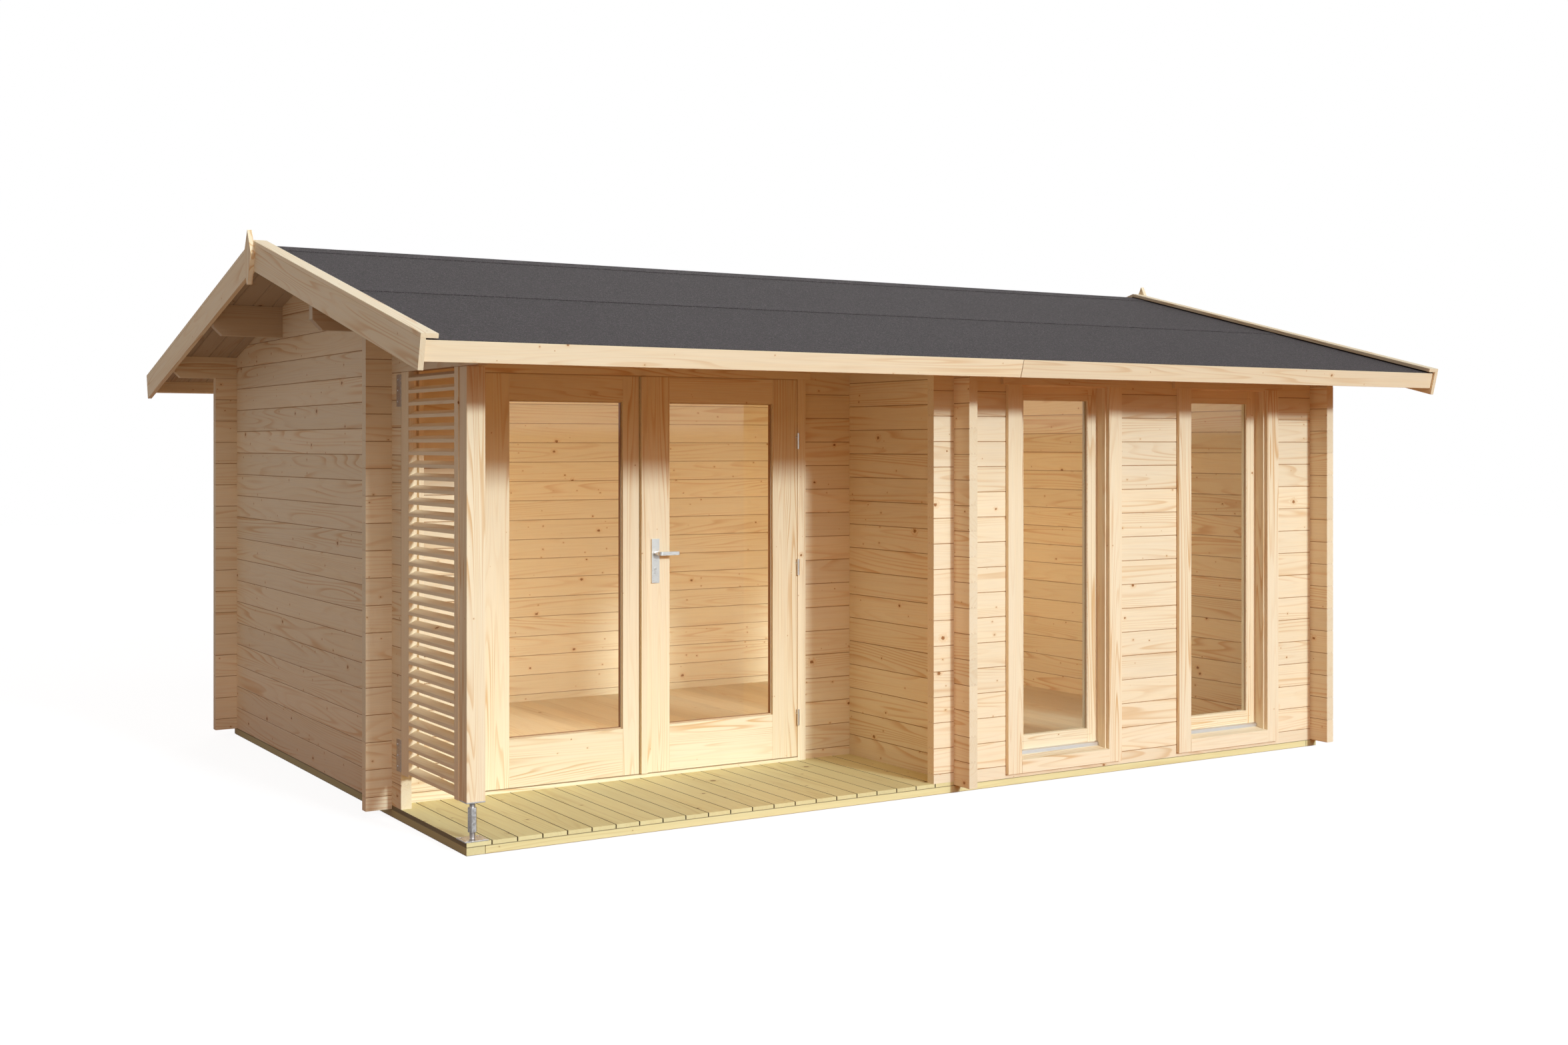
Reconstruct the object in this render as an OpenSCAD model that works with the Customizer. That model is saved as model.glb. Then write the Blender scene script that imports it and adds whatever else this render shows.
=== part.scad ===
// Log summerhouse with a recessed corner porch, a glazed double door and two tall windows.
// Drawing coordinates: x from the left gable's outer face, y from the front wall's outer face,
// z from the underside of the logs. placed() moves the drawing so that the finished part
// stands on z = 0 with its origin in the middle of its footprint.

/* [House] */
// Length between the outer faces of the two gables
house_l = 4912; // [4200:1:6000]
// Depth between the outer faces of the front and back walls
house_d = 3516; // [3000:1:4200]
// Width of the porch, from the gable face to the room's side wall
porch_w = 2432; // [2300:1:2600]
// Depth of the porch, from the front face to the door wall
porch_d = 878; // [760:1:1000]
// Full log courses under each gable
side_courses = 16; // [16:1:18]

/* [Logs] */
// Height that one log covers
log_h = 120; // [118:1:130]
// Thickness of a log
log_t = 48; // [40:1:60]
// Length of the log ends past a crossing
log_end = 118; // [90:1:150]
// Depth of the V groove between two logs
log_groove = 3; // [3:0.5:7]
// Cut corner under the ends of the long logs
log_end_chamfer = 45; // [20:1:60]
// Depth of the rear purlin under the roof boards, at its front face
purlin_h = 160; // [120:1:180]
// Distance from the ridge to the near face of the rear purlin
purlin_offset = 805; // [600:1:1000]

/* [Base] */
// Height of the ground bearers
bearer_h = 34; // [30:1:60]
// Width of the ground bearers
bearer_w = 80; // [60:1:100]
// Thickness of the deck boards
deck_t = 17; // [16:1:26]
// Spacing of the deck boards
deck_pitch = 111; // [90:1:140]
// Gap between two deck boards
deck_gap = 4; // [3:0.5:8]
// Thickness of the floor inside
floor_t = 18; // [16:1:28]

/* [Roof] */
// Pitch of the roof in degrees
roof_pitch = 14; // [12:0.5:18]
// Thickness of the roof boards
roof_board_t = 19; // [16:0.5:24]
// Thickness of the roofing felt
felt_t = 4; // [3:0.5:6]
// Overhang past the gables, to the bargeboards' inner faces
gable_overhang = 353; // [300:1:400]
// Length of the roof boards down the slope past the front face
eaves_overhang = 459; // [380:1:520]
// Height of the fascia boards
fascia_h = 82; // [70:1:120]
// Thickness of the fascia boards and bargeboards
edge_board_t = 22; // [16:1:26]
// Height of the bargeboards under their caps
barge_h = 121; // [100:1:140]
// Length of a bargeboard past the fascia
barge_past = 12; // [6:1:30]
// Height of the bargeboards' tops over the felt
barge_rise = 4; // [2:0.5:12]
// Width of the caps over the roof's side edges
cap_w = 70; // [50:1:120]
// Thickness of those caps
cap_t = 19; // [14:1:24]
// Height of the gable finials
finial_h = 260; // [200:1:300]
// Greatest width of the gable finials
finial_w = 120; // [90:1:140]
// Width of a finial at its blunt lower end
finial_tip_w = 20; // [12:1:30]
// Height of a finial's lower end under the roof's underside at the ridge
finial_drop = 166; // [140:1:190]
// Height of a finial's widest place, as a share of its height
finial_belly = 0.55; // [0.4:0.05:0.7]

/* [Doors] */
// Distance of the doorway's middle from the middle of the porch
door_shift = 12; // [-40:1:40]
// Width of the doorway between its jambs
doorway_w = 1706; // [1600:1:1740]
// Width of a door jamb
door_jamb_w = 40; // [30:1:50]
// Height of the doorway's head over the underside of the logs
door_head_z = 1935; // [1880:1:1936]
// Height of the door sill's top
door_sill_z = 33; // [28:1:40]
// Gap round each leaf
leaf_gap = 5; // [5:0.5:8]
// Gap between the two leaves
meeting_gap = 7; // [7:0.5:10]
// Distance of the leaves' meeting line from the middle of the doorway
meeting_shift = 39; // [20:1:50]
// Thickness of a leaf
leaf_t = 40; // [38:1:46]
// Width of the stiles at the hinges
hinge_stile_w = 143; // [120:1:160]
// Width of the left leaf's stile at the meeting line
left_meeting_stile_w = 85; // [75:1:110]
// Width of the right leaf's stile at the meeting line, which carries the lock
lock_stile_w = 158; // [145:1:180]
// Height of the leaves' top rails
top_rail_h = 120; // [90:1:150]
// Height of the leaves' bottom rails
bottom_rail_h = 222; // [160:1:260]
// Thickness of the glass
glass_t = 6; // [4:0.5:10]
// Depth that the glass sits in its grooves
glass_grip = 10; // [6:1:14]
// Setback of the glass behind a leaf's or sash's face
glass_setback = 14; // [10:1:18]
// Width of the strip on the right leaf beside the meeting line
cover_strip_w = 32; // [20:1:45]
// Thickness of that strip
cover_strip_t = 15; // [8:1:18]

/* [Door hardware] */
// Height of the three hinges over the underside of the logs
hinge_zs = [235, 990, 1624];
// Radius of a hinge's barrels
hinge_r = 7; // [6:0.5:8]
// Length of one hinge barrel
barrel_l = 40; // [30:1:50]
// Radius of a hinge's pin
hinge_pin_r = 3.5; // [3:0.5:4]
// Length of a hinge's pin above its lower barrel
hinge_pin_l = 30; // [20:1:32]
// Running clearance of pins and spindle
run_clear = 0.1; // [0.05:0.01:0.3]
// Height of the handle's spindle over the underside of the logs
handle_z = 1086; // [1000:1:1150]
// Distance of the spindle from the right leaf's free edge
handle_backset = 79; // [72:1:90]
// Length of the lever from the spindle's axis to its tip
lever_l = 106; // [90:1:130]
// Height of the lever's flat bar
lever_h = 17.5; // [14:0.5:20]
// Thickness of the lever's flat bar
lever_t = 11; // [8:0.5:14]
// Distance of the lever's outer face from the leaf's face
lever_reach = 58; // [50:1:65]
// Radius of the round neck that turns in the plate
lever_neck_r = 9; // [8:0.5:11]
// Width of the handle plates
plate_w = 41; // [34:1:46]
// Height of the handle plates
plate_h = 211; // [180:1:230]
// Thickness of the handle plates
plate_t = 8; // [6:0.5:10]
// Distance of the plates' lower end under the spindle
plate_drop = 142; // [125:1:160]
// Distance of the lock cylinder's round part under the spindle
lock_drop = 75; // [70:1:95]
// Radius of the lock cylinder's round part
lock_r = 8.5; // [8:0.5:9]
// Width of the lock cylinder's flat part
lock_w = 10; // [9:0.5:11]
// Whole height of the lock cylinder
lock_h = 33; // [30:1:36]

/* [Windows] */
// Clear width between a window's casings
window_w = 560; // [480:1:620]
// Width of the pier between the windows, as a share of the two outer piers
middle_pier_ratio = 1.575; // [1.2:0.005:1.8]
// Height of the frame's lower edge as seen from outside
window_low_z = 118; // [110:1:130]
// Height of the frame's upper edge as seen from outside
window_high_z = 1890; // [1800:1:1905]
// Width of a window frame member
frame_w = 40; // [32:1:50]
// Setback of the sash behind the wall's face
sash_setback = 58; // [52:1:70]
// Thickness of the sash
sash_t = 40; // [36:1:50]
// Width of the sash that shows inside the frame
sash_face_w = 62; // [50:1:75]
// Overlap of the sash behind the frame's lip
sash_lap = 14; // [10:1:18]
// Part of the frame's lip that shows inside the casings
lip_reveal = 10; // [5:1:15]
// Depth of the metal drip strip under the sash
drip_d = 12; // [8:1:18]
// Fall of the drip strip's top
drip_fall = 6; // [3:1:10]
// Height of the sill's front edge
sill_front_z = 85; // [75:1:90]
// Height of the sill where it meets the sash
sill_back_z = 98; // [92:1:102]
// Reach of the sill in front of the casings
sill_nose = 2; // [0:0.5:20]

/* [Casings] */
// Width of the window casings
casing_w = 84; // [70:1:100]
// Thickness of the casings
casing_t = 20; // [14:1:24]
// Width of the door casings
door_casing_w = 46; // [42:1:60]
// Height of the boards over the doorway and the windows
head_casing_h = 85; // [60:1:85]
// Overhang of those boards past the side casings
head_casing_past = 30; // [10:1:40]
// Height of the window casings' lower ends
casing_low_z = 20; // [5:1:40]

/* [Porch] */
// Width of the square corner post
post_w = 80; // [70:1:100]
// Distance of the post from the gable's outer face
post_inset_x = 5; // [0:1:20]
// Distance of the post from the front of the deck
post_inset_y = 11; // [0:1:20]
// Height of the post's lower end over the deck
post_lift = 158; // [150:1:200]
// Side of the steel foot's square base plate
foot_plate_w = 100; // [90:1:120]
// Thickness of the foot's plates
foot_plate_t = 5; // [4:0.5:8]
// Radius of the base plate's screw holes
foot_hole_r = 5; // [3:0.5:7]
// Distance of those holes from the plate's edges
foot_hole_edge = 14; // [10:1:20]
// Radius of the foot's threaded rod
foot_rod_r = 11; // [9:0.5:14]
// Length of the rod that shows under the foot's hexagonal sleeve
foot_rod_low = 27; // [15:1:35]
// Width across the flats of that sleeve
foot_sleeve_w = 34; // [30:1:42]
// Height of that sleeve
foot_sleeve_h = 99; // [60:1:105]
// Thickness of the slatted screen at its front stile
screen_t = 47; // [43:1:48]
// Width of the screen's front stile
screen_front_w = 42; // [36:1:70]
// Width of the screen's rear stile
screen_rear_w = 90; // [50:1:100]
// Thickness of the rear stile, past the groove that runs up its front
screen_rear_t = 70; // [66:1:76]
// Width of that groove, beside the slats
stile_groove_w = 11; // [8:1:12]
// Depth of that groove
stile_groove_d = 15; // [8:1:24]
// Height of the stiles' lower ends
screen_low_z = 171; // [120:1:240]
// Number of slats
slat_count = 33; // [28:1:36]
// Width of a slat, measured along its slope
slat_w = 37; // [32:1:38]
// Thickness of a slat
slat_t = 13.5; // [10:0.5:16]
// Slope of the slats in degrees
slat_tilt = 25; // [18:1:35]
// Setback of the slats' plumb edges behind the stiles' outer faces
slat_setback = 1; // [0:0.5:3]
// Height of the steel angles that hold the screen
angle_h = 140; // [100:1:160]
// Width of an angle's leg on the gable's log ends
angle_w = 52; // [40:1:70]
// Width of an angle's leg between the screen and the log ends
angle_depth = 40; // [30:1:46]
// Thickness of the steel angles
angle_t = 3; // [2:0.5:4]
// Distance of the angles from the screen's ends
angle_inset = 9; // [0:1:40]

/* [Hidden] */

$fn = 48;
over = 2;            // extra length of a cutting solid past the face that it cuts
butt_gap = 1;        // butt joint between boards of one node
seat_clear = 0.1;    // clearance between sloping faces that lie on each other

// Heights of the log walls
gable_base_z = side_courses * log_h;
wall_top_z = gable_base_z + log_h / 2;
eaves_z = wall_top_z + log_h;
lintel_z = wall_top_z - log_h;
ridge_y = house_d / 2;
ridge_z = eaves_z + (ridge_y - log_t) * tan(roof_pitch);
course_count = side_courses + 8;
// Joints of the walls along x lie half a course above those of the walls along y
x_joints = [for (k = [0 : course_count]) (k + 0.5) * log_h];
y_joints = [for (k = [0 : course_count]) k * log_h];
purlin_low_z = eaves_z;
lap = log_h / 4;

// Lengths along the roof slope
slope_l = (ridge_y + eaves_overhang) / cos(roof_pitch);
fascia_front = slope_l + edge_board_t;
barge_l = fascia_front + barge_past;
felt_low = roof_board_t + seat_clear;
roof_top = felt_low + felt_t;
barge_top = roof_top + barge_rise;

// Plan of the walls
back_y = house_d - log_t;
right_x = house_l - log_t;
rear_purlin_y = ridge_y + purlin_offset;
rear_purlin_z = roof_z(rear_purlin_y) - purlin_h;

// Doorway
door_center = (log_t + porch_w) / 2 + door_shift;
door_left_x = door_center - doorway_w / 2;
door_right_x = door_center + doorway_w / 2;
door_face_y = porch_d - casing_t;
leaf_back_y = door_face_y + leaf_t;
leaf_low_z = door_sill_z + leaf_gap;
leaf_high_z = door_head_z - leaf_gap;
meeting_x = door_center - meeting_shift;
left_leaf = [door_left_x + leaf_gap, meeting_x - meeting_gap / 2];
right_leaf = [meeting_x + meeting_gap / 2, door_right_x - leaf_gap];
hinge_stand = 1;     // air between a hinge's barrels and the leaf's face
barrel_gap = 0.5;    // air between a hinge's two barrels
pin_end_gap = 2;     // air over the end of a hinge's pin
hinge_y = door_face_y - hinge_r - hinge_stand;
left_hinge_x = door_left_x + leaf_gap / 2;
right_hinge_x = door_right_x - leaf_gap / 2;
// Screw-in spigots of the hinges, as they sit in the jambs and the leaves
spigot_r = 4;
spigot_l = 34;
spigot_turn = 40;
stop_y = leaf_back_y + leaf_gap;
stop_w = 14;
handle_x = right_leaf[0] + handle_backset;
spindle_r = 5;
lever_bend_r = 18;
lock_past = 2;       // length of the lock cylinder past each plate
arc_steps = 10;

// Windows
window_out = frame_w - lip_reveal;
window_cut_w = window_w + 2 * window_out;
side_pier_w = (right_x - porch_w - log_t - 2 * window_cut_w) / (2 + middle_pier_ratio);
window_left = porch_w + log_t + side_pier_w + window_out;
window_pitch = window_cut_w + middle_pier_ratio * side_pier_w;
window_xs = [window_left, window_left + window_pitch];
sash_play = 2;       // air round a sash in its frame
frame_depth = sash_setback + sash_t + sash_play;
rebate = sash_lap + sash_play;
sash_low_z = window_low_z - sash_lap;
sash_high_z = window_high_z + sash_lap;
sash_inset = lip_reveal - sash_lap;
window_cut_low = log_h / 2;
window_cut_high = window_high_z + frame_w;
sill_front_y = -casing_t - sill_nose;

// Top of a window sill at depth y
function sill_z(y) = sill_front_z
  + (sill_back_z - sill_front_z) * (y - sill_front_y) / (sash_setback - sill_front_y);

// Points of an arc round [x, y]
function arc(x, y, r, from, to) = [
  for (i = [0 : arc_steps]) let (a = from + (to - from) * i / arc_steps) [x + r * cos(a), y + r * sin(a)]
];

// Moves the drawing into the finished part's frame
module placed() {
  translate([-house_l / 2, -house_d / 2, bearer_h]) children();
}

// Underside of the roof boards over a point y
function roof_z(y) = eaves_z + (min(y, house_d - y) - log_t) * tan(roof_pitch);

function at_joint(z, joints) = len([for (j = joints) if (abs(j - z) < 0.01) j]) > 0;

// One face of a log wall in section, from z0 up to z1, with a V groove at each joint
function log_face(z0, z1, joints) = [
  if (at_joint(z0, joints)) each [[log_groove, z0], [0, z0 + log_groove]] else [0, z0],
  for (j = joints) if (j > z0 + 1 && j < z1 - 1)
    each [[0, j - log_groove], [log_groove, j], [0, j + log_groove]],
  if (at_joint(z1, joints)) each [[0, z1 - log_groove], [log_groove, z1]] else [0, z1]
];

module log_section(z0, z1, joints) {
  outer = log_face(z0, z1, joints);
  inner = [for (i = [len(outer) - 1 : -1 : 0]) [log_t - outer[i][0], outer[i][1]]];
  polygon(concat(outer, inner));
}

// Extrudes a section drawn in (y, z) along +x, from x0 to x1
module along_x(x0, x1) {
  translate([x0, 0, 0]) rotate([90, 0, 90]) linear_extrude(x1 - x0) children();
}

// Extrudes a section drawn in (x, z) along +y, from y0 to y1
module along_y(y0, y1) {
  translate([0, y1, 0]) rotate([90, 0, 0]) linear_extrude(y1 - y0) children();
}

module x_log_wall(x0, x1, y, z0, z1) {
  translate([0, y, 0]) along_x(x0, x1) log_section(z0, z1, x_joints);
}

module y_log_wall(y0, y1, x, z0, z1) {
  translate([x, 0, 0]) along_y(y0, y1) log_section(z0, z1, y_joints);
}

// Cross-lap notches in a wall along x, where the wall along y at x crosses it
module x_wall_laps(x, y) {
  for (j = x_joints)
    translate([x, y - over, j - lap]) cube([log_t, log_t + 2 * over, 2 * lap]);
}

// Cross-lap notches in a wall along y, where the wall along x at y crosses it
module y_wall_laps(x, y) {
  for (j = y_joints)
    translate([x - over, y, j - lap]) cube([log_t + 2 * over, log_t, 2 * lap]);
}

// Slot that is open to the roof, for a long log that lies across a wall along y
module roof_slot(x, y, z) {
  translate([x - over, y, z]) cube([log_t + 2 * over, log_t, ridge_z]);
}

// Everything under the roof boards
module under_roof() {
  reach = slope_l;
  along_x(-house_l, 2 * house_l)
    polygon([
      [-reach, -bearer_h], [-reach, roof_z(-reach) - seat_clear], [ridge_y, ridge_z - seat_clear],
      [house_d + reach, roof_z(house_d + reach) - seat_clear], [house_d + reach, -bearer_h]
    ]);
}

// The space of the porch deck, which the logs over it are cut back from
module deck_space() {
  translate([0, 0, -over]) cube([porch_w, porch_d, deck_t + over]);
}

// Slope coordinates: x along the house, y down the slope from the ridge, z out of the roof
module on_slope(front) {
  translate([0, ridge_y, ridge_z])
    mirror([0, front ? 1 : 0, 0]) rotate([-roof_pitch, 0, 0]) children();
}

// Board on one slope with a plumb cut at the ridge, half a butt gap from the ridge line
module slope_board(x0, x1, l, z0, z1) {
  start = butt_gap / 2 / cos(roof_pitch);
  along_x(x0, x1)
    polygon([
      [start - z0 * tan(roof_pitch), z0], [l, z0], [l, z1], [start - z1 * tan(roof_pitch), z1]
    ]);
}

module on_both_slopes() {
  for (front = [true, false]) on_slope(front) children();
}

module foundation_bearers() {
  inner_x = bearer_w + butt_gap;
  rows = [0, porch_d / 2, porch_d, (porch_d + house_d) / 2 - bearer_w / 2, house_d - bearer_w];
  color("darkkhaki") placed() {
    for (x = [0, house_l - bearer_w])
      translate([x, 0, -bearer_h]) cube([bearer_w, house_d, bearer_h]);
    for (y = rows)
      translate([inner_x, y, -bearer_h]) cube([house_l - 2 * inner_x, bearer_w, bearer_h]);
  }
}

module porch_deck() {
  count = round((porch_w + deck_gap) / deck_pitch);
  pitch = (porch_w + deck_gap) / count;
  color("khaki") placed()
    for (i = [0 : count - 1])
      translate([i * pitch, 0, 0]) cube([pitch - deck_gap, porch_d, deck_t]);
}

module floor() {
  inner_x = porch_w + log_t;
  inner_y = porch_d + log_t;
  color("burlywood") placed() {
    difference() {
      translate([log_t, inner_y, 0])
        cube([inner_x - log_t - butt_gap, back_y - inner_y, floor_t]);
      translate([porch_w, inner_y - over, -over]) cube([log_t + over, log_end + over, floor_t + 2 * over]);
    }
    difference() {
      translate([inner_x, log_t, 0]) cube([right_x - inner_x, back_y - log_t, floor_t]);
      translate([inner_x - over, porch_d, -over]) cube([log_end + over, log_t, floor_t + 2 * over]);
    }
  }
}

module left_gable_wall() {
  color("tan") placed() difference() {
    y_log_wall(porch_d - log_end, house_d + log_end, 0, 0, gable_base_z);
    y_wall_laps(0, porch_d);
    y_wall_laps(0, back_y);
    deck_space();
  }
}

// Slots for the long logs that lie on a gable under the roof
module gable_slots(x) {
  for (y = [0, back_y]) roof_slot(x, y, wall_top_z + lap);
  roof_slot(x, porch_d, purlin_low_z + lap);
  roof_slot(x, rear_purlin_y, rear_purlin_z);
}

module left_gable_top() {
  color("tan") placed() difference() {
    intersection() {
      y_log_wall(-log_end, house_d + log_end, 0, gable_base_z, ridge_z);
      under_roof();
    }
    gable_slots(0);
    // the top courses of the door wall and the back wall under the long logs
    for (y = [porch_d, back_y])
      translate([-over, y, gable_base_z - over]) cube([log_t + 2 * over, log_t, lap + over]);
    translate([-over, porch_d, eaves_z - log_h / 2 - lap]) cube([log_t + 2 * over, log_t, 2 * lap]);
  }
}

module right_gable_wall() {
  color("tan") placed() difference() {
    intersection() {
      y_log_wall(-log_end, house_d + log_end, right_x, 0, ridge_z);
      under_roof();
    }
    gable_slots(right_x);
    for (y = [0, back_y]) intersection() {
      y_wall_laps(right_x, y);
      translate([right_x - over, y, -over]) cube([log_t + 2 * over, log_t, gable_base_z + lap + over]);
    }
  }
}

module back_wall() {
  color("wheat") placed() difference() {
    x_log_wall(-log_end, house_l + log_end, back_y, 0, wall_top_z);
    x_wall_laps(0, back_y);
    x_wall_laps(right_x, back_y);
  }
}

// Side wall of the room, along the porch
module return_wall() {
  color("wheat") placed() difference() {
    intersection() {
      y_log_wall(-log_end, porch_d + log_t + log_end, porch_w, 0, ridge_z);
      under_roof();
    }
    roof_slot(porch_w, 0, wall_top_z + lap);
    roof_slot(porch_w, porch_d, purlin_low_z + lap);
    for (y = [0, porch_d]) intersection() {
      y_wall_laps(porch_w, y);
      translate([porch_w - over, y, -over]) cube([log_t + 2 * over, log_t, eaves_z - lap + over]);
    }
  }
}

module door_wall_piers() {
  inner_end = porch_w + log_t + log_end;
  color("wheat") placed() difference() {
    union() {
      x_log_wall(-log_end, door_left_x - door_jamb_w, porch_d, 0, wall_top_z);
      x_log_wall(door_right_x + door_jamb_w, inner_end, porch_d, 0, wall_top_z);
    }
    x_wall_laps(0, porch_d);
    x_wall_laps(porch_w, porch_d);
  }
}

module door_lintel() {
  color("wheat") placed() difference() {
    x_log_wall(-log_end, porch_w + log_t + log_end, porch_d, wall_top_z, eaves_z);
    x_wall_laps(0, porch_d);
    x_wall_laps(porch_w, porch_d);
  }
}

module front_bottom_log() {
  color("wheat") placed() difference() {
    x_log_wall(porch_w - log_end, house_l + log_end, 0, 0, window_cut_low);
    x_wall_laps(porch_w, 0);
    x_wall_laps(right_x, 0);
    deck_space();
  }
}

module front_wall_piers() {
  cuts = [for (x = window_xs) [x - window_out, x - window_out + window_cut_w]];
  starts = [porch_w - log_end, cuts[0][1], cuts[1][1]];
  ends = [cuts[0][0], cuts[1][0], house_l + log_end];
  color("wheat") placed() difference() {
    for (i = [0 : 2]) x_log_wall(starts[i], ends[i], 0, window_cut_low, lintel_z);
    x_wall_laps(porch_w, 0);
    x_wall_laps(right_x, 0);
  }
}

module front_lintel() {
  color("wheat") placed() difference() {
    x_log_wall(porch_w - log_end, house_l + log_end, 0, lintel_z, wall_top_z);
    x_wall_laps(porch_w, 0);
    x_wall_laps(right_x, 0);
    for (x = window_xs)
      translate([x - window_out, -over, lintel_z - over])
        cube([window_cut_w, log_t + 2 * over, window_cut_high - lintel_z + over]);
  }
}

// Long log under the roof from bargeboard to bargeboard, with its lower end corners cut off
module long_log(y, z) {
  x0 = -gable_overhang;
  x1 = house_l + gable_overhang;
  c = log_end_chamfer;
  intersection() {
    along_y(y, y + log_t)
      polygon([[x0 + c, z], [x1 - c, z], [x1, z + c], [x1, ridge_z], [x0, ridge_z], [x0, z + c]]);
    under_roof();
  }
}

module eaves_logs() {
  color("tan") placed() {
    for (row = [[0, [0, porch_w, right_x]], [back_y, [0, right_x]]]) difference() {
      long_log(row[0], wall_top_z);
      for (x = row[1])
        translate([x, row[0] - over, wall_top_z - over]) cube([log_t, log_t + 2 * over, lap + over]);
    }
  }
}

module purlins() {
  color("tan") placed() {
    difference() {
      long_log(porch_d, purlin_low_z);
      for (x = [0, porch_w, right_x])
        translate([x, porch_d - over, purlin_low_z - over]) cube([log_t, log_t + 2 * over, lap + over]);
    }
    long_log(rear_purlin_y, rear_purlin_z);
  }
}

module roof_boards() {
  color("peru") placed() on_both_slopes()
    slope_board(-gable_overhang, house_l + gable_overhang, slope_l, 0, roof_board_t);
}

module roof_felt() {
  x0 = -gable_overhang;
  x1 = house_l + gable_overhang;
  dy = fascia_front * cos(roof_pitch);
  dz = fascia_front * sin(roof_pitch);
  sy = sin(roof_pitch);
  sz = cos(roof_pitch);
  low_z = ridge_z + felt_low / sz;
  top_z = ridge_z + roof_top / sz;
  color("dimgray") placed() along_x(x0, x1)
    polygon([
      [ridge_y, low_z],
      [ridge_y + dy + felt_low * sy, ridge_z - dz + felt_low * sz],
      [ridge_y + dy + roof_top * sy, ridge_z - dz + roof_top * sz],
      [ridge_y, top_z],
      [ridge_y - dy - roof_top * sy, ridge_z - dz + roof_top * sz],
      [ridge_y - dy - felt_low * sy, ridge_z - dz + felt_low * sz]
    ]);
}

// Two boards along each eave, with a butt joint in the middle
module fascias() {
  board_l = house_l / 2 + gable_overhang - butt_gap / 2;
  color("bisque") placed() on_both_slopes()
    for (x = [-gable_overhang, house_l / 2 + butt_gap / 2])
      translate([x, slope_l, roof_board_t - fascia_h]) cube([board_l, edge_board_t, fascia_h]);
}

module bargeboards() {
  color("bisque") placed() on_both_slopes()
    for (x = [-gable_overhang - edge_board_t, house_l + gable_overhang])
      slope_board(x, x + edge_board_t, barge_l, barge_top - barge_h, barge_top);
}

module barge_caps() {
  outer = gable_overhang + edge_board_t;
  color("bisque") placed() on_both_slopes()
    for (x = [-outer, house_l + outer - cap_w])
      slope_board(x, x + cap_w, barge_l, barge_top + seat_clear, barge_top + cap_t);
}

// Kite-shaped boards on the outside of the bargeboards at the ridge
module gable_finials() {
  outer = gable_overhang + edge_board_t;
  low_z = ridge_z - finial_drop;
  mid_z = low_z + finial_belly * finial_h;
  color("bisque") placed()
    for (x = [-outer - edge_board_t, house_l + outer])
      along_x(x, x + edge_board_t) translate([ridge_y, 0])
        polygon([
          [-finial_tip_w / 2, low_z], [finial_tip_w / 2, low_z], [finial_w / 2, mid_z],
          [0, low_z + finial_h], [-finial_w / 2, mid_z]
        ]);
}

module corner_post() {
  low_z = deck_t + post_lift;
  color("bisque") placed()
    translate([post_inset_x, post_inset_y, low_z]) cube([post_w, post_w, gable_base_z - low_z]);
}

module post_foot() {
  hole_x = foot_plate_w / 2 - foot_hole_edge;
  color("silver") placed() translate([post_inset_x + post_w / 2, post_inset_y + post_w / 2, deck_t]) {
    difference() {
      translate([-foot_plate_w / 2, -foot_plate_w / 2, 0])
        cube([foot_plate_w, foot_plate_w, foot_plate_t]);
      for (x = [-hole_x, hole_x]) for (y = [-hole_x, hole_x])
        translate([x, y, -over]) cylinder(r = foot_hole_r, h = foot_plate_t + 2 * over);
    }
    cylinder(r = foot_rod_r, h = post_lift - foot_plate_t);
    translate([0, 0, foot_plate_t + foot_rod_low])
      cylinder(d = foot_sleeve_w / cos(30), h = foot_sleeve_h, $fn = 6);
    translate([-post_w / 2, -post_w / 2, post_lift - foot_plate_t]) cube([post_w, post_w, foot_plate_t]);
  }
}

// Slats with plumb edges between two stiles; they fall towards the outside
module louvre_screen() {
  y0 = post_inset_y + post_w;
  y1 = porch_d - log_end - angle_t;
  slats_y0 = y0 + screen_front_w;
  slats_y1 = y1 - screen_rear_w;
  screen_h = gable_base_z - screen_low_z;
  pitch = screen_h / slat_count;
  depth = slat_w * cos(slat_tilt);
  rise = slat_w * sin(slat_tilt);
  edge_h = slat_t / cos(slat_tilt);
  color("tan") placed() translate([0, 0, screen_low_z]) {
    translate([0, y0, 0]) cube([screen_t, screen_front_w, screen_h]);
    difference() {
      translate([0, slats_y1, 0]) cube([screen_rear_t, screen_rear_w, screen_h]);
      translate([screen_t - stile_groove_w, slats_y1 - over, -over])
        cube([stile_groove_w, stile_groove_d + over, screen_h + 2 * over]);
    }
    for (i = [0 : slat_count - 1])
      translate([slat_setback, 0, (i + 0.5) * pitch - (rise + edge_h) / 2])
        along_y(slats_y0 - over, slats_y1 + over)
          polygon([[0, 0], [depth, rise], [depth, rise + edge_h], [0, edge_h]]);
  }
}

// Steel angles between the screen and the log ends of the gable
module screen_straps() {
  y0 = porch_d - log_end - angle_t;
  y1 = porch_d - log_end;
  color("silver") placed()
    for (z = [screen_low_z + angle_inset, gable_base_z - angle_inset - angle_h])
      translate([0, 0, z]) linear_extrude(angle_h)
        polygon([
          [-angle_t, y0], [angle_depth, y0], [angle_depth, y1], [0, y1], [0, y0 + angle_w], [-angle_t, y0 + angle_w]
        ]);
}

module side_casings() {
  color("bisque") placed() {
    difference() {
      for (x = [door_left_x - door_casing_w, door_right_x])
        translate([x, door_face_y, deck_t]) cube([door_casing_w, casing_t, door_head_z - deck_t]);
      frame_spigots(0);
    }
    for (wx = window_xs) for (x = [wx - casing_w, wx + window_w])
      translate([x, -casing_t, casing_low_z])
        cube([casing_w, casing_t, wall_top_z - head_casing_h - casing_low_z]);
  }
}

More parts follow.
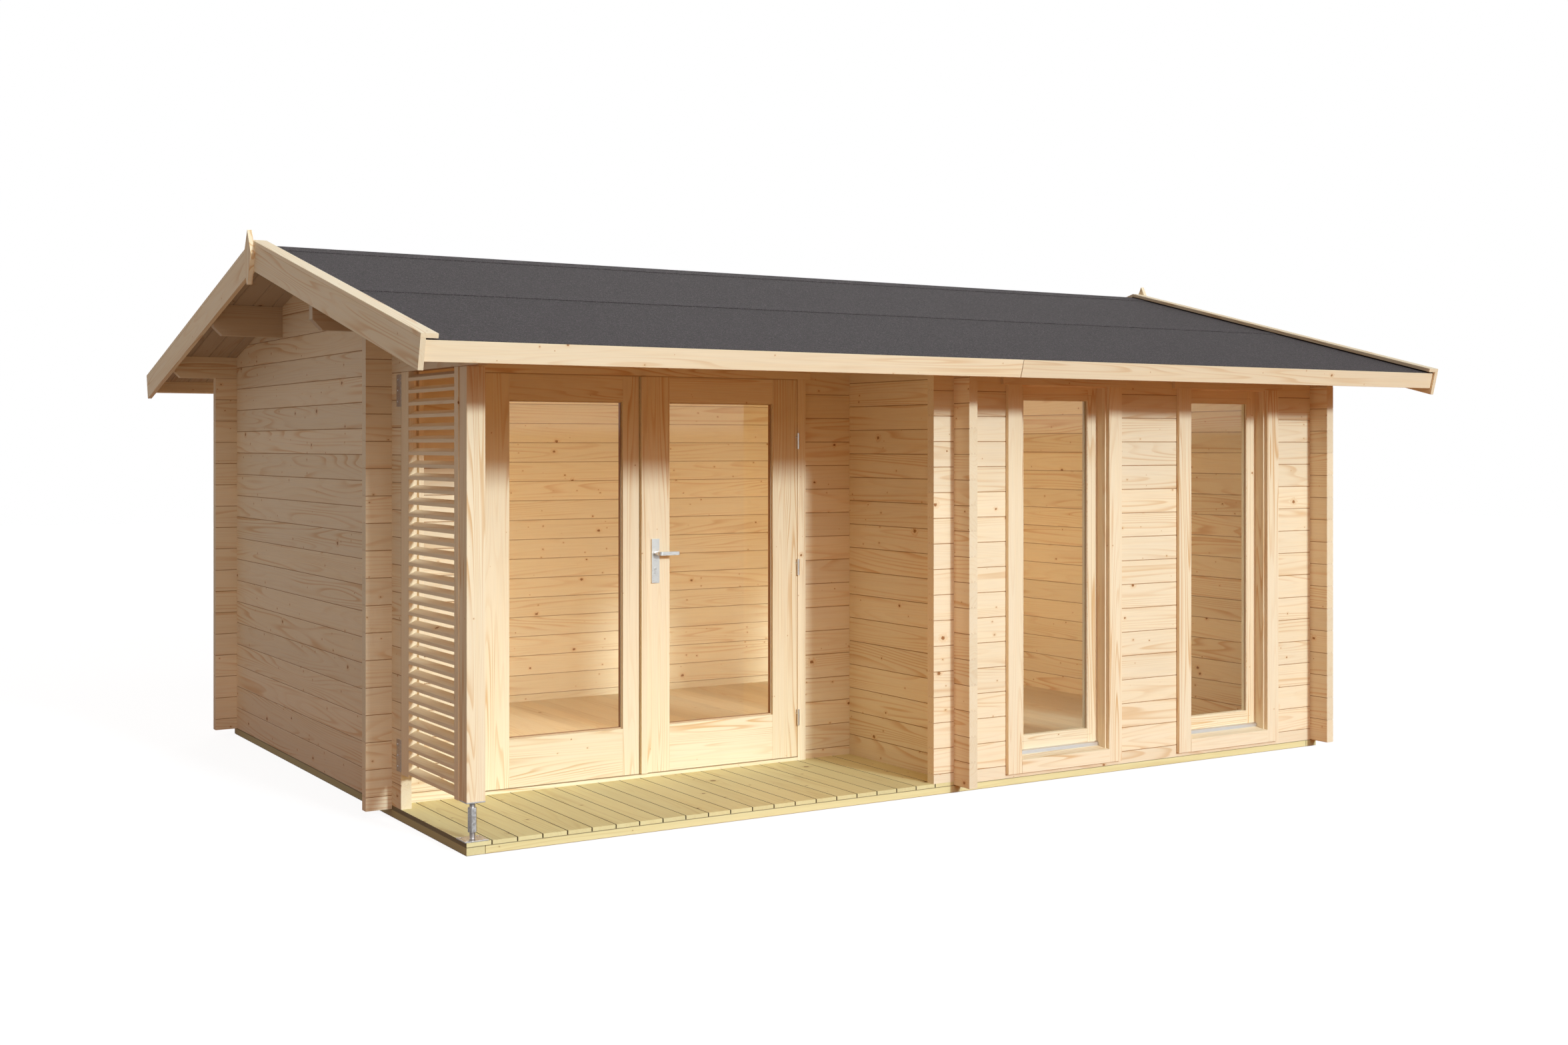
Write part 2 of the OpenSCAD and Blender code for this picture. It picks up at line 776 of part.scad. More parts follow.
module head_casings() {
  door_past = door_casing_w + head_casing_past;
  window_past = casing_w + head_casing_past;
  color("bisque") placed() {
    translate([door_left_x - door_past, door_face_y, door_head_z])
      cube([doorway_w + 2 * door_past, casing_t, head_casing_h]);
    for (x = window_xs)
      translate([x - window_past, -casing_t, wall_top_z - head_casing_h])
        cube([window_w + 2 * window_past, casing_t, head_casing_h]);
  }
}

// Jambs with a stop behind the leaf; mirrored about the middle of the doorway
module door_jambs() {
  low = door_sill_z;
  color("bisque") placed() difference() {
    for (side = [-1, 1])
      translate([door_center, 0, 0]) mirror([side < 0 ? 1 : 0, 0, 0])
        translate([doorway_w / 2, 0, 0]) {
          translate([0, porch_d, 0]) cube([door_jamb_w, log_t, wall_top_z]);
          translate([-stop_w, stop_y, low]) cube([stop_w + over, porch_d + log_t - stop_y, door_head_z - low]);
        }
    hinge_spigots(0);
  }
}

module door_head() {
  color("bisque") placed() {
    translate([door_left_x, porch_d, door_head_z]) cube([doorway_w, log_t, wall_top_z - door_head_z]);
    translate([door_left_x + stop_w, stop_y, door_head_z - stop_w])
      cube([doorway_w - 2 * stop_w, porch_d + log_t - stop_y, stop_w + over]);
  }
}

// Sill with a step in front that lies on the deck
module door_sill() {
  back = porch_d + log_t;
  color("tan") placed() along_x(door_left_x, door_right_x)
    polygon([
      [porch_d, 0], [back, 0], [back, door_sill_z], [door_face_y, door_sill_z],
      [door_face_y, deck_t], [porch_d, deck_t]
    ]);
}

// Two stiles of a leaf, grooved for the glass
module leaf_stiles(leaf, left_w, right_w) {
  h = leaf_high_z - leaf_low_z;
  difference() {
    for (s = [[leaf[0], left_w], [leaf[1] - right_w, right_w]])
      translate([s[0], door_face_y, leaf_low_z]) cube([s[1], leaf_t, h]);
    leaf_glass(leaf, left_w, right_w);
  }
}

// Top and bottom rails between the stiles, grooved for the glass
module leaf_rails(leaf, left_w, right_w) {
  w = leaf[1] - leaf[0] - left_w - right_w;
  difference() {
    for (r = [[leaf_low_z, bottom_rail_h], [leaf_high_z - top_rail_h, top_rail_h]])
      translate([leaf[0] + left_w, door_face_y, r[0]]) cube([w, leaf_t, r[1]]);
    leaf_glass(leaf, left_w, right_w);
  }
}

module leaf_glass(leaf, left_w, right_w) {
  low = leaf_low_z + bottom_rail_h - glass_grip;
  high = leaf_high_z - top_rail_h + glass_grip;
  w = leaf[1] - leaf[0] - left_w - right_w + 2 * glass_grip;
  translate([leaf[0] + left_w - glass_grip, door_face_y + glass_setback, low])
    cube([w, glass_t, high - low]);
}

module left_leaf_stiles() {
  color("bisque") placed() difference() {
    leaf_stiles(left_leaf, hinge_stile_w, left_meeting_stile_w);
    hinge_spigots(0);
  }
}

module left_leaf_rails() {
  color("bisque") placed() leaf_rails(left_leaf, hinge_stile_w, left_meeting_stile_w);
}

module left_leaf_glass() {
  color("lightblue", 0.4) placed() leaf_glass(left_leaf, hinge_stile_w, left_meeting_stile_w);
}

module right_leaf_stiles() {
  color("bisque") placed() difference() {
    leaf_stiles(right_leaf, lock_stile_w, hinge_stile_w);
    hinge_spigots(0);
    translate([handle_x, door_face_y - over, handle_z]) rotate([-90, 0, 0])
      cylinder(r = spindle_r + run_clear, h = leaf_t + 2 * over);
    lock_shape(run_clear);
  }
}

module right_leaf_rails() {
  color("bisque") placed() leaf_rails(right_leaf, lock_stile_w, hinge_stile_w);
}

module right_leaf_glass() {
  color("lightblue", 0.4) placed() leaf_glass(right_leaf, lock_stile_w, hinge_stile_w);
}

module cover_strip() {
  color("bisque") placed() translate([right_leaf[0], door_face_y - cover_strip_t, leaf_low_z])
    cube([cover_strip_w, cover_strip_t, leaf_high_z - leaf_low_z]);
}

// A spigot that leaves the hinge axis backwards and to one side
module spigot(x, z, side, extra) {
  translate([x, hinge_y, z]) rotate([0, 0, -side * spigot_turn]) rotate([-90, 0, 0])
    cylinder(r = spigot_r + extra, h = spigot_l);
}

module frame_spigots(extra) {
  for (z = hinge_zs) {
    spigot(left_hinge_x, z - barrel_l / 2, -1, extra);
    spigot(right_hinge_x, z - barrel_l / 2, 1, extra);
  }
}

module leaf_spigots(x, side, extra) {
  for (z = hinge_zs) spigot(x, z + barrel_gap + barrel_l / 2, side, extra);
}

module hinge_spigots(extra) {
  frame_spigots(extra);
  leaf_spigots(left_hinge_x, 1, extra);
  leaf_spigots(right_hinge_x, -1, extra);
}

// Lower barrels with their pins, fixed to the jambs
module frame_hinges() {
  color("silver") placed() {
    for (x = [left_hinge_x, right_hinge_x]) for (z = hinge_zs)
      translate([x, hinge_y, z - barrel_l]) {
        cylinder(r = hinge_r, h = barrel_l);
        cylinder(r = hinge_pin_r, h = barrel_l + hinge_pin_l);
      }
    frame_spigots(0);
  }
}

// Upper barrels of one leaf, bored for the pins
module leaf_hinges(x, side) {
  difference() {
    union() {
      for (z = hinge_zs) translate([x, hinge_y, z + barrel_gap]) cylinder(r = hinge_r, h = barrel_l);
      leaf_spigots(x, side, 0);
    }
    for (z = hinge_zs) translate([x, hinge_y, z - over])
      cylinder(r = hinge_pin_r + run_clear, h = hinge_pin_l + pin_end_gap + over);
  }
}

module left_leaf_hinges() {
  color("silver") placed() leaf_hinges(left_hinge_x, 1);
}

module right_leaf_hinges() {
  color("silver") placed() leaf_hinges(right_hinge_x, -1);
}

// Lock cylinder: round above and flat below, through the leaf and both plates
module lock_shape(extra) {
  y0 = door_face_y - plate_t - lock_past;
  l = leaf_t + 2 * (plate_t + lock_past);
  flat_h = lock_h - lock_r - lock_w / 2;
  translate([handle_x, y0, handle_z - lock_drop]) {
    rotate([-90, 0, 0]) cylinder(r = lock_r + extra, h = l);
    translate([-lock_w / 2 - extra, 0, -flat_h]) cube([lock_w + 2 * extra, l, flat_h]);
    translate([0, 0, -flat_h]) rotate([-90, 0, 0]) cylinder(r = lock_w / 2 + extra, h = l);
  }
}

// Long plates on both faces of the right leaf, and the lock cylinder through them
module handle_plates() {
  color("silver") placed() {
    difference() {
      for (y = [door_face_y - plate_t, leaf_back_y])
        translate([handle_x - plate_w / 2, y, handle_z - plate_drop]) cube([plate_w, plate_t, plate_h]);
      translate([handle_x, 0, handle_z]) rotate([-90, 0, 0])
        cylinder(r = lever_neck_r + run_clear, h = house_d);
      lock_shape(run_clear);
    }
    lock_shape(0);
  }
}

// One lever: a round neck out of the plate and a flat bar, bent in plan; y points away from the leaf
module lever() {
  neck_l = lever_reach - lever_bend_r;
  bend_x = lever_bend_r - lever_t / 2;
  tip_r = lever_t / 2;
  rotate([-90, 0, 0]) cylinder(r = lever_neck_r, h = neck_l);
  translate([0, 0, -lever_h / 2]) linear_extrude(lever_h)
    polygon(concat(
      [[-lever_t / 2, neck_l - over]],
      arc(bend_x, neck_l, lever_bend_r, 180, 90),
      arc(lever_l - tip_r, lever_reach - tip_r, tip_r, 90, -90),
      arc(bend_x, neck_l, lever_bend_r - lever_t, 90, 180),
      [[lever_t / 2, neck_l - over]]
    ));
}

// Levers on both sides with the spindle between them
module door_handle() {
  color("silver") placed() translate([handle_x, 0, handle_z]) {
    translate([0, door_face_y - over, 0]) rotate([-90, 0, 0])
      cylinder(r = spindle_r, h = leaf_t + 2 * over);
    translate([0, door_face_y, 0]) mirror([0, 1, 0]) lever();
    translate([0, leaf_back_y, 0]) lever();
  }
}

// Frame member in section: a lip in front and a rebate for the sash behind it, drawn as
// (distance into the opening, depth)
module frame_section() {
  polygon([
    [0, 0], [frame_w, 0], [frame_w, sash_setback], [frame_w - rebate, sash_setback],
    [frame_w - rebate, frame_depth], [0, frame_depth]
  ]);
}

module window_jambs() {
  color("bisque") placed()
    for (wx = window_xs) for (right = [0, 1])
      translate([wx + window_w / 2, 0, window_cut_low]) mirror([right, 0, 0])
        translate([-window_cut_w / 2, 0, 0])
          linear_extrude(window_cut_high - window_cut_low) frame_section();
}

// Runs a section drawn in (y, z) from jamb to jamb, between their lips or in their rebates
module between_lips(wx) {
  along_x(wx + lip_reveal, wx + window_w - lip_reveal) children();
}

module between_rebates(wx) {
  along_x(wx + lip_reveal - rebate, wx + window_w - lip_reveal + rebate) children();
}

// Upper frame members, between the jambs
module window_heads() {
  color("bisque") placed()
    for (wx = window_xs) {
      between_lips(wx) translate([0, window_high_z]) square([sash_setback, frame_w]);
      between_rebates(wx)
        translate([sash_setback, window_high_z + rebate]) square([frame_depth - sash_setback, frame_w - rebate]);
    }
}

// Lower frame members behind the sills
module window_bottoms() {
  color("bisque") placed()
    for (wx = window_xs)
      between_rebates(wx) translate([sash_setback, window_cut_low])
        square([frame_depth - sash_setback, window_low_z - rebate - window_cut_low]);
}

// Metal strips that lead the rain from the sash onto the sill
module window_drips() {
  front_y = sash_setback - drip_d;
  color("silver") placed()
    for (wx = window_xs)
      between_lips(wx) polygon([
        [sash_setback, sill_z(sash_setback) + seat_clear], [sash_setback, window_low_z],
        [front_y, window_low_z - drip_fall], [front_y, sill_z(front_y) + seat_clear]
      ]);
}

// Sloping wooden sills: a nose between the casings and a tail between the jambs, on the bottom log
module window_sills() {
  color("bisque") placed()
    for (wx = window_xs) {
      along_x(wx, wx + window_w) polygon([
        [sill_front_y, casing_low_z], [0, casing_low_z], [0, sill_z(0)], [sill_front_y, sill_front_z]
      ]);
      between_lips(wx) polygon([
        [0, window_cut_low], [sash_setback, window_cut_low], [sash_setback, sill_back_z], [0, sill_z(0)]
      ]);
    }
}

module sash_glass(wx) {
  grip = sash_face_w - glass_grip;
  low = window_low_z + grip;
  high = window_high_z - grip;
  x0 = wx + lip_reveal + grip;
  translate([x0, sash_setback + glass_setback, low])
    cube([window_w - 2 * (lip_reveal + grip), glass_t, high - low]);
}

module sash_stiles() {
  w = sash_face_w + sash_lap;
  color("bisque") placed()
    for (wx = window_xs) difference() {
      for (x = [wx + sash_inset, wx + window_w - sash_inset - w])
        translate([x, sash_setback, sash_low_z]) cube([w, sash_t, sash_high_z - sash_low_z]);
      sash_glass(wx);
    }
}

module sash_rails() {
  w = sash_face_w + sash_lap;
  color("bisque") placed()
    for (wx = window_xs) difference() {
      for (z = [sash_low_z, sash_high_z - w])
        translate([wx + sash_inset + w, sash_setback, z])
          cube([window_w - 2 * sash_inset - 2 * w, sash_t, w]);
      sash_glass(wx);
    }
}

module window_glass() {
  color("lightblue", 0.4) placed() for (wx = window_xs) sash_glass(wx);
}

foundation_bearers();
porch_deck();
floor();
left_gable_wall();
left_gable_top();
right_gable_wall();
back_wall();
return_wall();
door_wall_piers();
door_lintel();
front_bottom_log();
front_wall_piers();
front_lintel();
eaves_logs();
purlins();
roof_boards();
roof_felt();
fascias();
bargeboards();
barge_caps();
gable_finials();
corner_post();
post_foot();
louvre_screen();
screen_straps();
side_casings();
head_casings();
door_jambs();
door_head();
door_sill();
left_leaf_stiles();
left_leaf_rails();
left_leaf_glass();
left_leaf_hinges();
right_leaf_stiles();
right_leaf_rails();
right_leaf_glass();
right_leaf_hinges();
cover_strip();
handle_plates();
door_handle();
frame_hinges();
window_jambs();
window_heads();
window_bottoms();
window_drips();
window_sills();
sash_stiles();
sash_rails();
window_glass();
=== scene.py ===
"""Looks of the log summerhouse: finishes, boards, felt strips, beads, seals, fittings and the studio, with
painted shade in seams, gaps, beads and seals and under the roof.
"""

import math
import random

import bmesh
import bpy
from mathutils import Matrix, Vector


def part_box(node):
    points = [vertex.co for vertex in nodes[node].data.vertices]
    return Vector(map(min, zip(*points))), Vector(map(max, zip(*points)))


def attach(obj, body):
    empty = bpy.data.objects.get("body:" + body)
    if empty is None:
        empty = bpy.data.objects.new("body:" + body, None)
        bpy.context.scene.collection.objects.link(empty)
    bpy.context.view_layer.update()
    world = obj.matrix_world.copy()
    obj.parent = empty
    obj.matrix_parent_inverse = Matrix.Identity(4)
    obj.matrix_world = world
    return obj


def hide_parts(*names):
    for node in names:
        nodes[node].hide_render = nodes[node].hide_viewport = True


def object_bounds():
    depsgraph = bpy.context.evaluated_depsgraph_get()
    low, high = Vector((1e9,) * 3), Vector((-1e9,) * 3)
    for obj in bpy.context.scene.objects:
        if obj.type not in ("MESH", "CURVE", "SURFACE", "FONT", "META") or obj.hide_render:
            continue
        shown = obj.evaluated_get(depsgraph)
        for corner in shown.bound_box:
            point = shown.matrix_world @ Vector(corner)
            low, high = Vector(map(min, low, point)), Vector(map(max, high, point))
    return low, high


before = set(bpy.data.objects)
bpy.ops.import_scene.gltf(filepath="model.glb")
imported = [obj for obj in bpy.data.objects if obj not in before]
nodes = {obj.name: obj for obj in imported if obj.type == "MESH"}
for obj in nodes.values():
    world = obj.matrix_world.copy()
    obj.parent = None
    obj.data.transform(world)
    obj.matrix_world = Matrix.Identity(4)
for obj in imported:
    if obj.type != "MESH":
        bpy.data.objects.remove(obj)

cad_low, cad_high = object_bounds()
MM = 0.001

# Sizes that the finishes share with the CAD source, in metres
LOG_H = 120 * MM
PITCH = math.radians(14)
ROOF_BOARD_T = 19 * MM
GLASS_GRIP = 10 * MM
WELD = 0.01 * MM

log_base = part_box("left_gable_wall")[0].z
x_rows = log_base - LOG_H / 2
y_rows = log_base
boards_low, boards_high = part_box("roof_boards")
ridge_y = (boards_low.y + boards_high.y) / 2


# Camera, fitted to the photograph

IMAGE_W = 2352
FOCAL_PX = 2628.05
HORIZON_DROP_PX = 114.96
SENSOR = 36
CAMERA_PLACE = (-5.070, -8.346, 1.634)
CAMERA_YAW = -0.557

camera_data = bpy.data.cameras.new("photo_camera")
camera_data.sensor_width = SENSOR
camera_data.lens = SENSOR * FOCAL_PX / IMAGE_W
camera_data.shift_y = -HORIZON_DROP_PX / IMAGE_W
camera = bpy.data.objects.new("photo_camera", camera_data)
camera.location = CAMERA_PLACE
camera.rotation_euler = (math.pi / 2, 0, CAMERA_YAW)
bpy.context.scene.collection.objects.link(camera)
bpy.context.scene.camera = camera
bpy.context.scene.view_settings.view_transform = "Standard"


# Node trees

class Shade:
    """One material's node tree. Each method adds nodes and gives back an output socket."""

    def __init__(self, name):
        self.material = bpy.data.materials.new(name)
        self.material.use_nodes = True
        self.tree = self.material.node_tree
        self.surface = self.tree.nodes["Principled BSDF"]

    def put(self, socket, value):
        if isinstance(value, bpy.types.NodeSocket):
            self.tree.links.new(value, socket)
        else:
            socket.default_value = value

    def node(self, kind, inputs=None, **settings):
        made = self.tree.nodes.new(kind)
        for name, value in settings.items():
            setattr(made, name, value)
        for name, value in (inputs or {}).items():
            self.put(made.inputs[name], value)
        return made

    def set(self, **inputs):
        """Sets sockets of the surface shader, such as Base_Color."""
        for name, value in inputs.items():
            self.put(self.surface.inputs[name.replace("_", " ")], value)

    def math(self, operation, *values):
        made = self.node("ShaderNodeMath", operation=operation)
        for socket, value in zip(made.inputs, values):
            self.put(socket, value)
        return made.outputs[0]

    def total(self, *values):
        result = values[0]
        for value in values[1:]:
            result = self.math("ADD", result, value)
        return result

    def split(self, vector):
        return self.node("ShaderNodeSeparateXYZ", {"Vector": vector}).outputs[:3]

    def vector(self, x, y, z):
        return self.node("ShaderNodeCombineXYZ", {"X": x, "Y": y, "Z": z}).outputs[0]

    def place(self):
        return self.split(self.node("ShaderNodeTexCoord").outputs["Object"])

    def noise(self, vector, scale=1.0, detail=2.0, roughness=0.5):
        inputs = {"Vector": vector, "Scale": scale, "Detail": detail, "Roughness": roughness}
        return self.node("ShaderNodeTexNoise", inputs).outputs["Fac"]

    def step(self, value, low, high, first=0.0, last=1.0):
        """Goes smoothly from first to last while value goes from low to high."""
        inputs = {"Value": value, "From Min": low, "From Max": high, "To Min": first, "To Max": last}
        return self.node("ShaderNodeMapRange", inputs, interpolation_type="SMOOTHSTEP").outputs[0]

    def mix(self, share, first, second, blend="MIX"):
        made = self.node("ShaderNodeMix", data_type="RGBA", blend_type=blend)
        for index, value in ((0, share), (6, first), (7, second)):
            self.put(made.inputs[index], value)
        return made.outputs[2]

    def grey(self, value):
        return self.vector(value, value, value)

    def bump(self, height, distance, strength=1.0):
        inputs = {"Height": height, "Distance": distance, "Strength": strength}
        self.set(Normal=self.node("ShaderNodeBump", inputs).outputs[0])


def colour(r, g, b):
    return (r, g, b, 1.0)


# Wood

SPRUCE = {
    "light": colour(0.945, 0.805, 0.585),
    "warm": colour(0.925, 0.755, 0.500),
    "line": colour(0.74, 0.455, 0.205),
    "halo": colour(0.80, 0.50, 0.22),
    "knot": colour(0.38, 0.17, 0.06),
}
FLOORING = {
    "light": colour(0.80, 0.66, 0.46),
    "warm": colour(0.77, 0.60, 0.38),
    "line": colour(0.62, 0.38, 0.18),
    "halo": colour(0.66, 0.40, 0.18),
    "knot": colour(0.32, 0.14, 0.05),
}
TREATED = {
    "light": colour(0.86, 0.785, 0.43),
    "warm": colour(0.805, 0.695, 0.345),
    "line": colour(0.66, 0.52, 0.22),
    "halo": colour(0.62, 0.46, 0.18),
    "knot": colour(0.28, 0.16, 0.06),
}


def darkened(palette, shares):
    return {name: colour(*(s * c for s, c in zip(shares, tint))) for name, tint in palette.items()}


# Painted shade: the roof boards, seen from below, and the purlins are darker copies of the spruce, as the
# shade under the roof
ROOF_PAINTED_SHADE = darkened(SPRUCE, (0.52, 0.48, 0.46))
PURLIN_PAINTED_SHADE = darkened(SPRUCE, (0.66, 0.62, 0.60))

# Growth lines: how far their noise is drawn out, how many there are, how they lie, rise, fall and fade
FIGURE_STRETCH = 0.5
FIGURE_RINGS = 17.0
FIGURE_LEAN = 2.6
LATE_RISE = (0.25, 0.86)
LATE_FALL = (0.88, 1.0)
LATE_SHARP = 2.6
PATCH_SCALES = (0.9, 6.0, 11.0)
PATCH_SPAN = (0.42, 0.64)
FAINT_SHARE = 0.16

# Streaks and fibres, and what they, the patches and a piece's own draws do to the tone and the value
STREAK_SCALES = (1.6, 60.0, 60.0)
FIBRE_SCALES = (6.0, 330.0, 330.0)
NOISE_SPAN = (0.2, 0.8)
TONE_PATCH = 0.5
TONE_PIECE = 0.3
TONE_STREAKS = (0.35, 0.75, -0.1, 0.35)
PIECE_VALUE = (0.95, 1.03)
FIBRE_VALUE = (0.96, 1.03)
PIECE_SHIFTS = (23.0, 3.0, 5.0)
ISLAND_SPREAD = 91.0
NODE_SPREAD = 7.0

# Sawn ends: from which slope of the face on, and how much of the lines, value and joint shadow they keep
END_TURN = (0.6, 0.85)
SAWN_LINES = 0.25
SAWN_VALUE = 0.94
SAWN_JOINT = 0.1

# Surface and shadows
WOOD_ROUGHNESS = (0.5, 0.68)
WOOD_SPECULAR = 0.3
GRAIN_RELIEF = 0.5 * MM
GRAIN_STRENGTH = 0.5
LINE_HEIGHT = 0.5
FIBRE_HEIGHT = 0.35
JOINT_DARK = 1.8 * MM
JOINT_SHARE = 0.85
JOINT_COLOUR = colour(0.33, 0.13, 0.035)
GAP_SHARE = 0.9
GAP_COLOUR = colour(0.12, 0.075, 0.03)
# Painted shade on the sides of the bearers that face along x
SIDE_SHADE_SHARE = 0.6
SIDE_SHADE_COLOUR = colour(0.30, 0.26, 0.12)
LAP_FADE = (4 * MM, 2 * MM)
LAP_SHARE = 0.75

# Layers of knots: length and width of a knot's cell, radius of the largest, how many cells have one, and
# how far the small ones outnumber the large
BRANCH_KNOTS = (0.40, 0.115, 10 * MM, 0.75, 1.4)
PIN_KNOTS = (0.15, 0.058, 4.8 * MM, 0.6, 1.2)

# Knots: their length along the grain, edge and halo as shares of the radius, and the rest of their look
KNOT_LENGTH = 0.75
KNOT_EDGE = (0.7, 1.2)
KNOT_HALO = (0.9, 3.4)
KNOT_NONE = 0.02 * MM
KNOT_LEAN = 0.7
KNOT_WOBBLE = 140.0
KNOT_WOBBLES = (0.75, 1.25)
KNOT_BEND = 1.4
KNOT_STAIN = 0.42
PIN_DARK = 0.62


def end_grain(shade, axis):
    """1 on the sawn ends of the grain, 0 along its sides."""
    normal = shade.split(shade.node("ShaderNodeTexCoord").outputs["Normal"])
    way = "y" if axis == "slope" else axis
    return shade.step(shade.math("ABSOLUTE", normal["xyz".index(way)]), *END_TURN)


def axis_sockets(shade, axis):
    """The coordinate along the grain and the two across it; slope is down either side of the roof."""
    x, y, z = shade.place()
    if axis == "slope":
        off = shade.math("ABSOLUTE", shade.math("SUBTRACT", y, ridge_y))
        return y, x, shade.math("MULTIPLY_ADD", off, math.tan(PITCH), z)
    if axis == "x":
        return x, y, z
    if axis == "y":
        return y, x, z
    return z, x, y


def piece_draws(shade, rows, z):
    """Three random numbers for each log of a wall, or for each solid of a node."""
    own = shade.node("ShaderNodeObjectInfo").outputs["Random"]
    if rows is None:
        island = shade.node("ShaderNodeNewGeometry").outputs["Random Per Island"]
        seed = shade.math("MULTIPLY_ADD", island, ISLAND_SPREAD, own)
    else:
        row = shade.math("FLOOR", shade.math("DIVIDE", shade.math("SUBTRACT", z, rows), LOG_H))
        seed = shade.math("MULTIPLY_ADD", own, NODE_SPREAD, row)
    draw = shade.node("ShaderNodeTexWhiteNoise", {"W": seed}, noise_dimensions="1D")
    return shade.split(draw.outputs["Color"])


def knot_layer(shade, a, side, wobble, layer, share, size):
    """Core and halo of knots that stand one to a cell; a share of the cells has one."""
    cell_l, cell_w, largest, part, spread = layer
    share = share * part
    cell = shade.vector(shade.math("DIVIDE", a, cell_l), shade.math("DIVIDE", side, cell_w), 0.0)
    cells = shade.node("ShaderNodeTexVoronoi", {"Vector": cell, "Scale": 1.0}, voronoi_dimensions="2D")
    px, py, _ = shade.split(cells.outputs["Position"])
    qx, qy, _ = shade.split(cell)
    dx = shade.math("MULTIPLY", shade.math("SUBTRACT", px, qx), cell_l * KNOT_LENGTH)
    dy = shade.math("MULTIPLY", shade.math("SUBTRACT", py, qy), cell_w)
    square = shade.math("ADD", shade.math("POWER", dx, 2.0), shade.math("POWER", dy, 2.0))
    distance = shade.math("MULTIPLY", shade.math("SQRT", square), wobble)
    chance, _, _ = shade.split(cells.outputs["Color"])
    past = shade.math("SUBTRACT", chance, 1.0 - share)
    grown = shade.math("MAXIMUM", shade.math("DIVIDE", past, share), 0.0)
    radius = shade.math("MULTIPLY_ADD", shade.math("POWER", grown, spread), largest * size, KNOT_NONE)
    ratio = shade.math("DIVIDE", distance, radius)
    return shade.step(ratio, *KNOT_EDGE, 1.0, 0.0), shade.step(ratio, *KNOT_HALO, 1.0, 0.0)


def stretched(shade, axes, scales):
    scaled = [shade.math("MULTIPLY", socket, scale) for socket, scale in zip(axes, scales)]
    return shade.vector(*scaled)


def wood_colour(shade, axes, draws, palette, figure, knots, across, sawn, knot_size=1.0):
    """Colour and height of planed softwood: growth lines, fibres and knots, with no knots on sawn ends."""
    _, r2, r3 = draws
    axes = [
        shade.math("MULTIPLY_ADD", draw, size, axis) for axis, draw, size in zip(axes, draws, PIECE_SHIFTS)
    ]
    a, b, c = axes

    side = shade.math("MULTIPLY_ADD", b, KNOT_LEAN, c)
    uneven = shade.noise(shade.vector(a, b, c), scale=KNOT_WOBBLE, detail=1.0)
    wobble = shade.step(uneven, *NOISE_SPAN, *KNOT_WOBBLES)
    core, halo = knot_layer(shade, a, side, wobble, BRANCH_KNOTS, knots, knot_size)
    pin, glow = knot_layer(shade, a, side, wobble, PIN_KNOTS, knots, knot_size)
    planed = shade.math("SUBTRACT", 1.0, sawn)
    core, halo, pin, glow = (shade.math("MULTIPLY", layer, planed) for layer in (core, halo, pin, glow))

    # Growth lines are the contours of a noise drawn out along the grain, and bend round the knots
    body = shade.noise(stretched(shade, axes, (FIGURE_STRETCH, across, across)), detail=1.2, roughness=0.35)
    level = shade.math("MULTIPLY_ADD", body, FIGURE_RINGS, shade.math("MULTIPLY", halo, KNOT_BEND))
    ring = shade.math("FRACT", shade.math("MULTIPLY_ADD", c, across * FIGURE_LEAN, level))
    rise = shade.step(ring, *LATE_RISE)
    fall = shade.step(ring, *LATE_FALL, 1.0, 0.0)
    late = shade.math("MULTIPLY", shade.math("POWER", rise, LATE_SHARP), fall)
    patch = shade.noise(stretched(shade, axes, PATCH_SCALES), detail=2.0)
    strength = shade.step(patch, *PATCH_SPAN, FAINT_SHARE * figure, figure)
    kept = shade.step(sawn, 0.0, 1.0, 1.0, SAWN_LINES)
    line = shade.math("MULTIPLY", shade.math("MULTIPLY", late, strength), kept)

    streaks = shade.noise(stretched(shade, axes, STREAK_SCALES), detail=2.0, roughness=0.6)
    fibre = shade.noise(stretched(shade, axes, FIBRE_SCALES), detail=2.0, roughness=0.6)

    tone = shade.total(
        shade.math("MULTIPLY", patch, TONE_PATCH), shade.math("MULTIPLY", r2, TONE_PIECE),
        shade.step(streaks, *TONE_STREAKS),
    )
    base = shade.mix(tone, palette["light"], palette["warm"])
    base = shade.mix(line, base, palette["line"])
    stains = [shade.math("MULTIPLY", layer, KNOT_STAIN) for layer in (halo, glow)]
    base = shade.mix(shade.math("MAXIMUM", *stains), base, palette["halo"])
    dark = shade.math("MAXIMUM", core, shade.math("MULTIPLY", pin, PIN_DARK))
    base = shade.mix(dark, base, palette["knot"])
    own_value = shade.step(r3, 0.0, 1.0, *PIECE_VALUE)
    value = shade.math("MULTIPLY", own_value, shade.step(fibre, *NOISE_SPAN, *FIBRE_VALUE))
    value = shade.math("MULTIPLY", value, shade.step(sawn, 0.0, 1.0, 1.0, SAWN_VALUE))
    base = shade.mix(1.0, base, shade.grey(value), "MULTIPLY")
    relief = [shade.math("MULTIPLY", line, LINE_HEIGHT), shade.math("MULTIPLY", fibre, FIBRE_HEIGHT)]
    height = shade.total(*relief, core)
    return base, height, fibre


def joint_shadow(shade, base, rows, z, sawn):
    """Darkens the bottom of the groove between two logs, but not their sawn ends."""
    place = shade.math("DIVIDE", shade.math("SUBTRACT", z, rows), LOG_H)
    off = shade.math("MULTIPLY", shade.math("PINGPONG", place, 0.5), LOG_H)
    near = shade.step(off, 0.5 * JOINT_DARK, JOINT_DARK, JOINT_SHARE, 0.0)
    kept = shade.step(sawn, 0.0, 1.0, 1.0, SAWN_JOINT)
    return shade.mix(shade.math("MULTIPLY", near, kept), base, JOINT_COLOUR)


def gap_shadow(shade, base, axis, share=GAP_SHARE, dark=GAP_COLOUR):
    """Darkens the sides of boards that face along the axis with painted shade, as in a narrow gap or on a
    side turned from the light.
    """
    return shade.mix(shade.math("MULTIPLY", end_grain(shade, axis), share), base, dark)


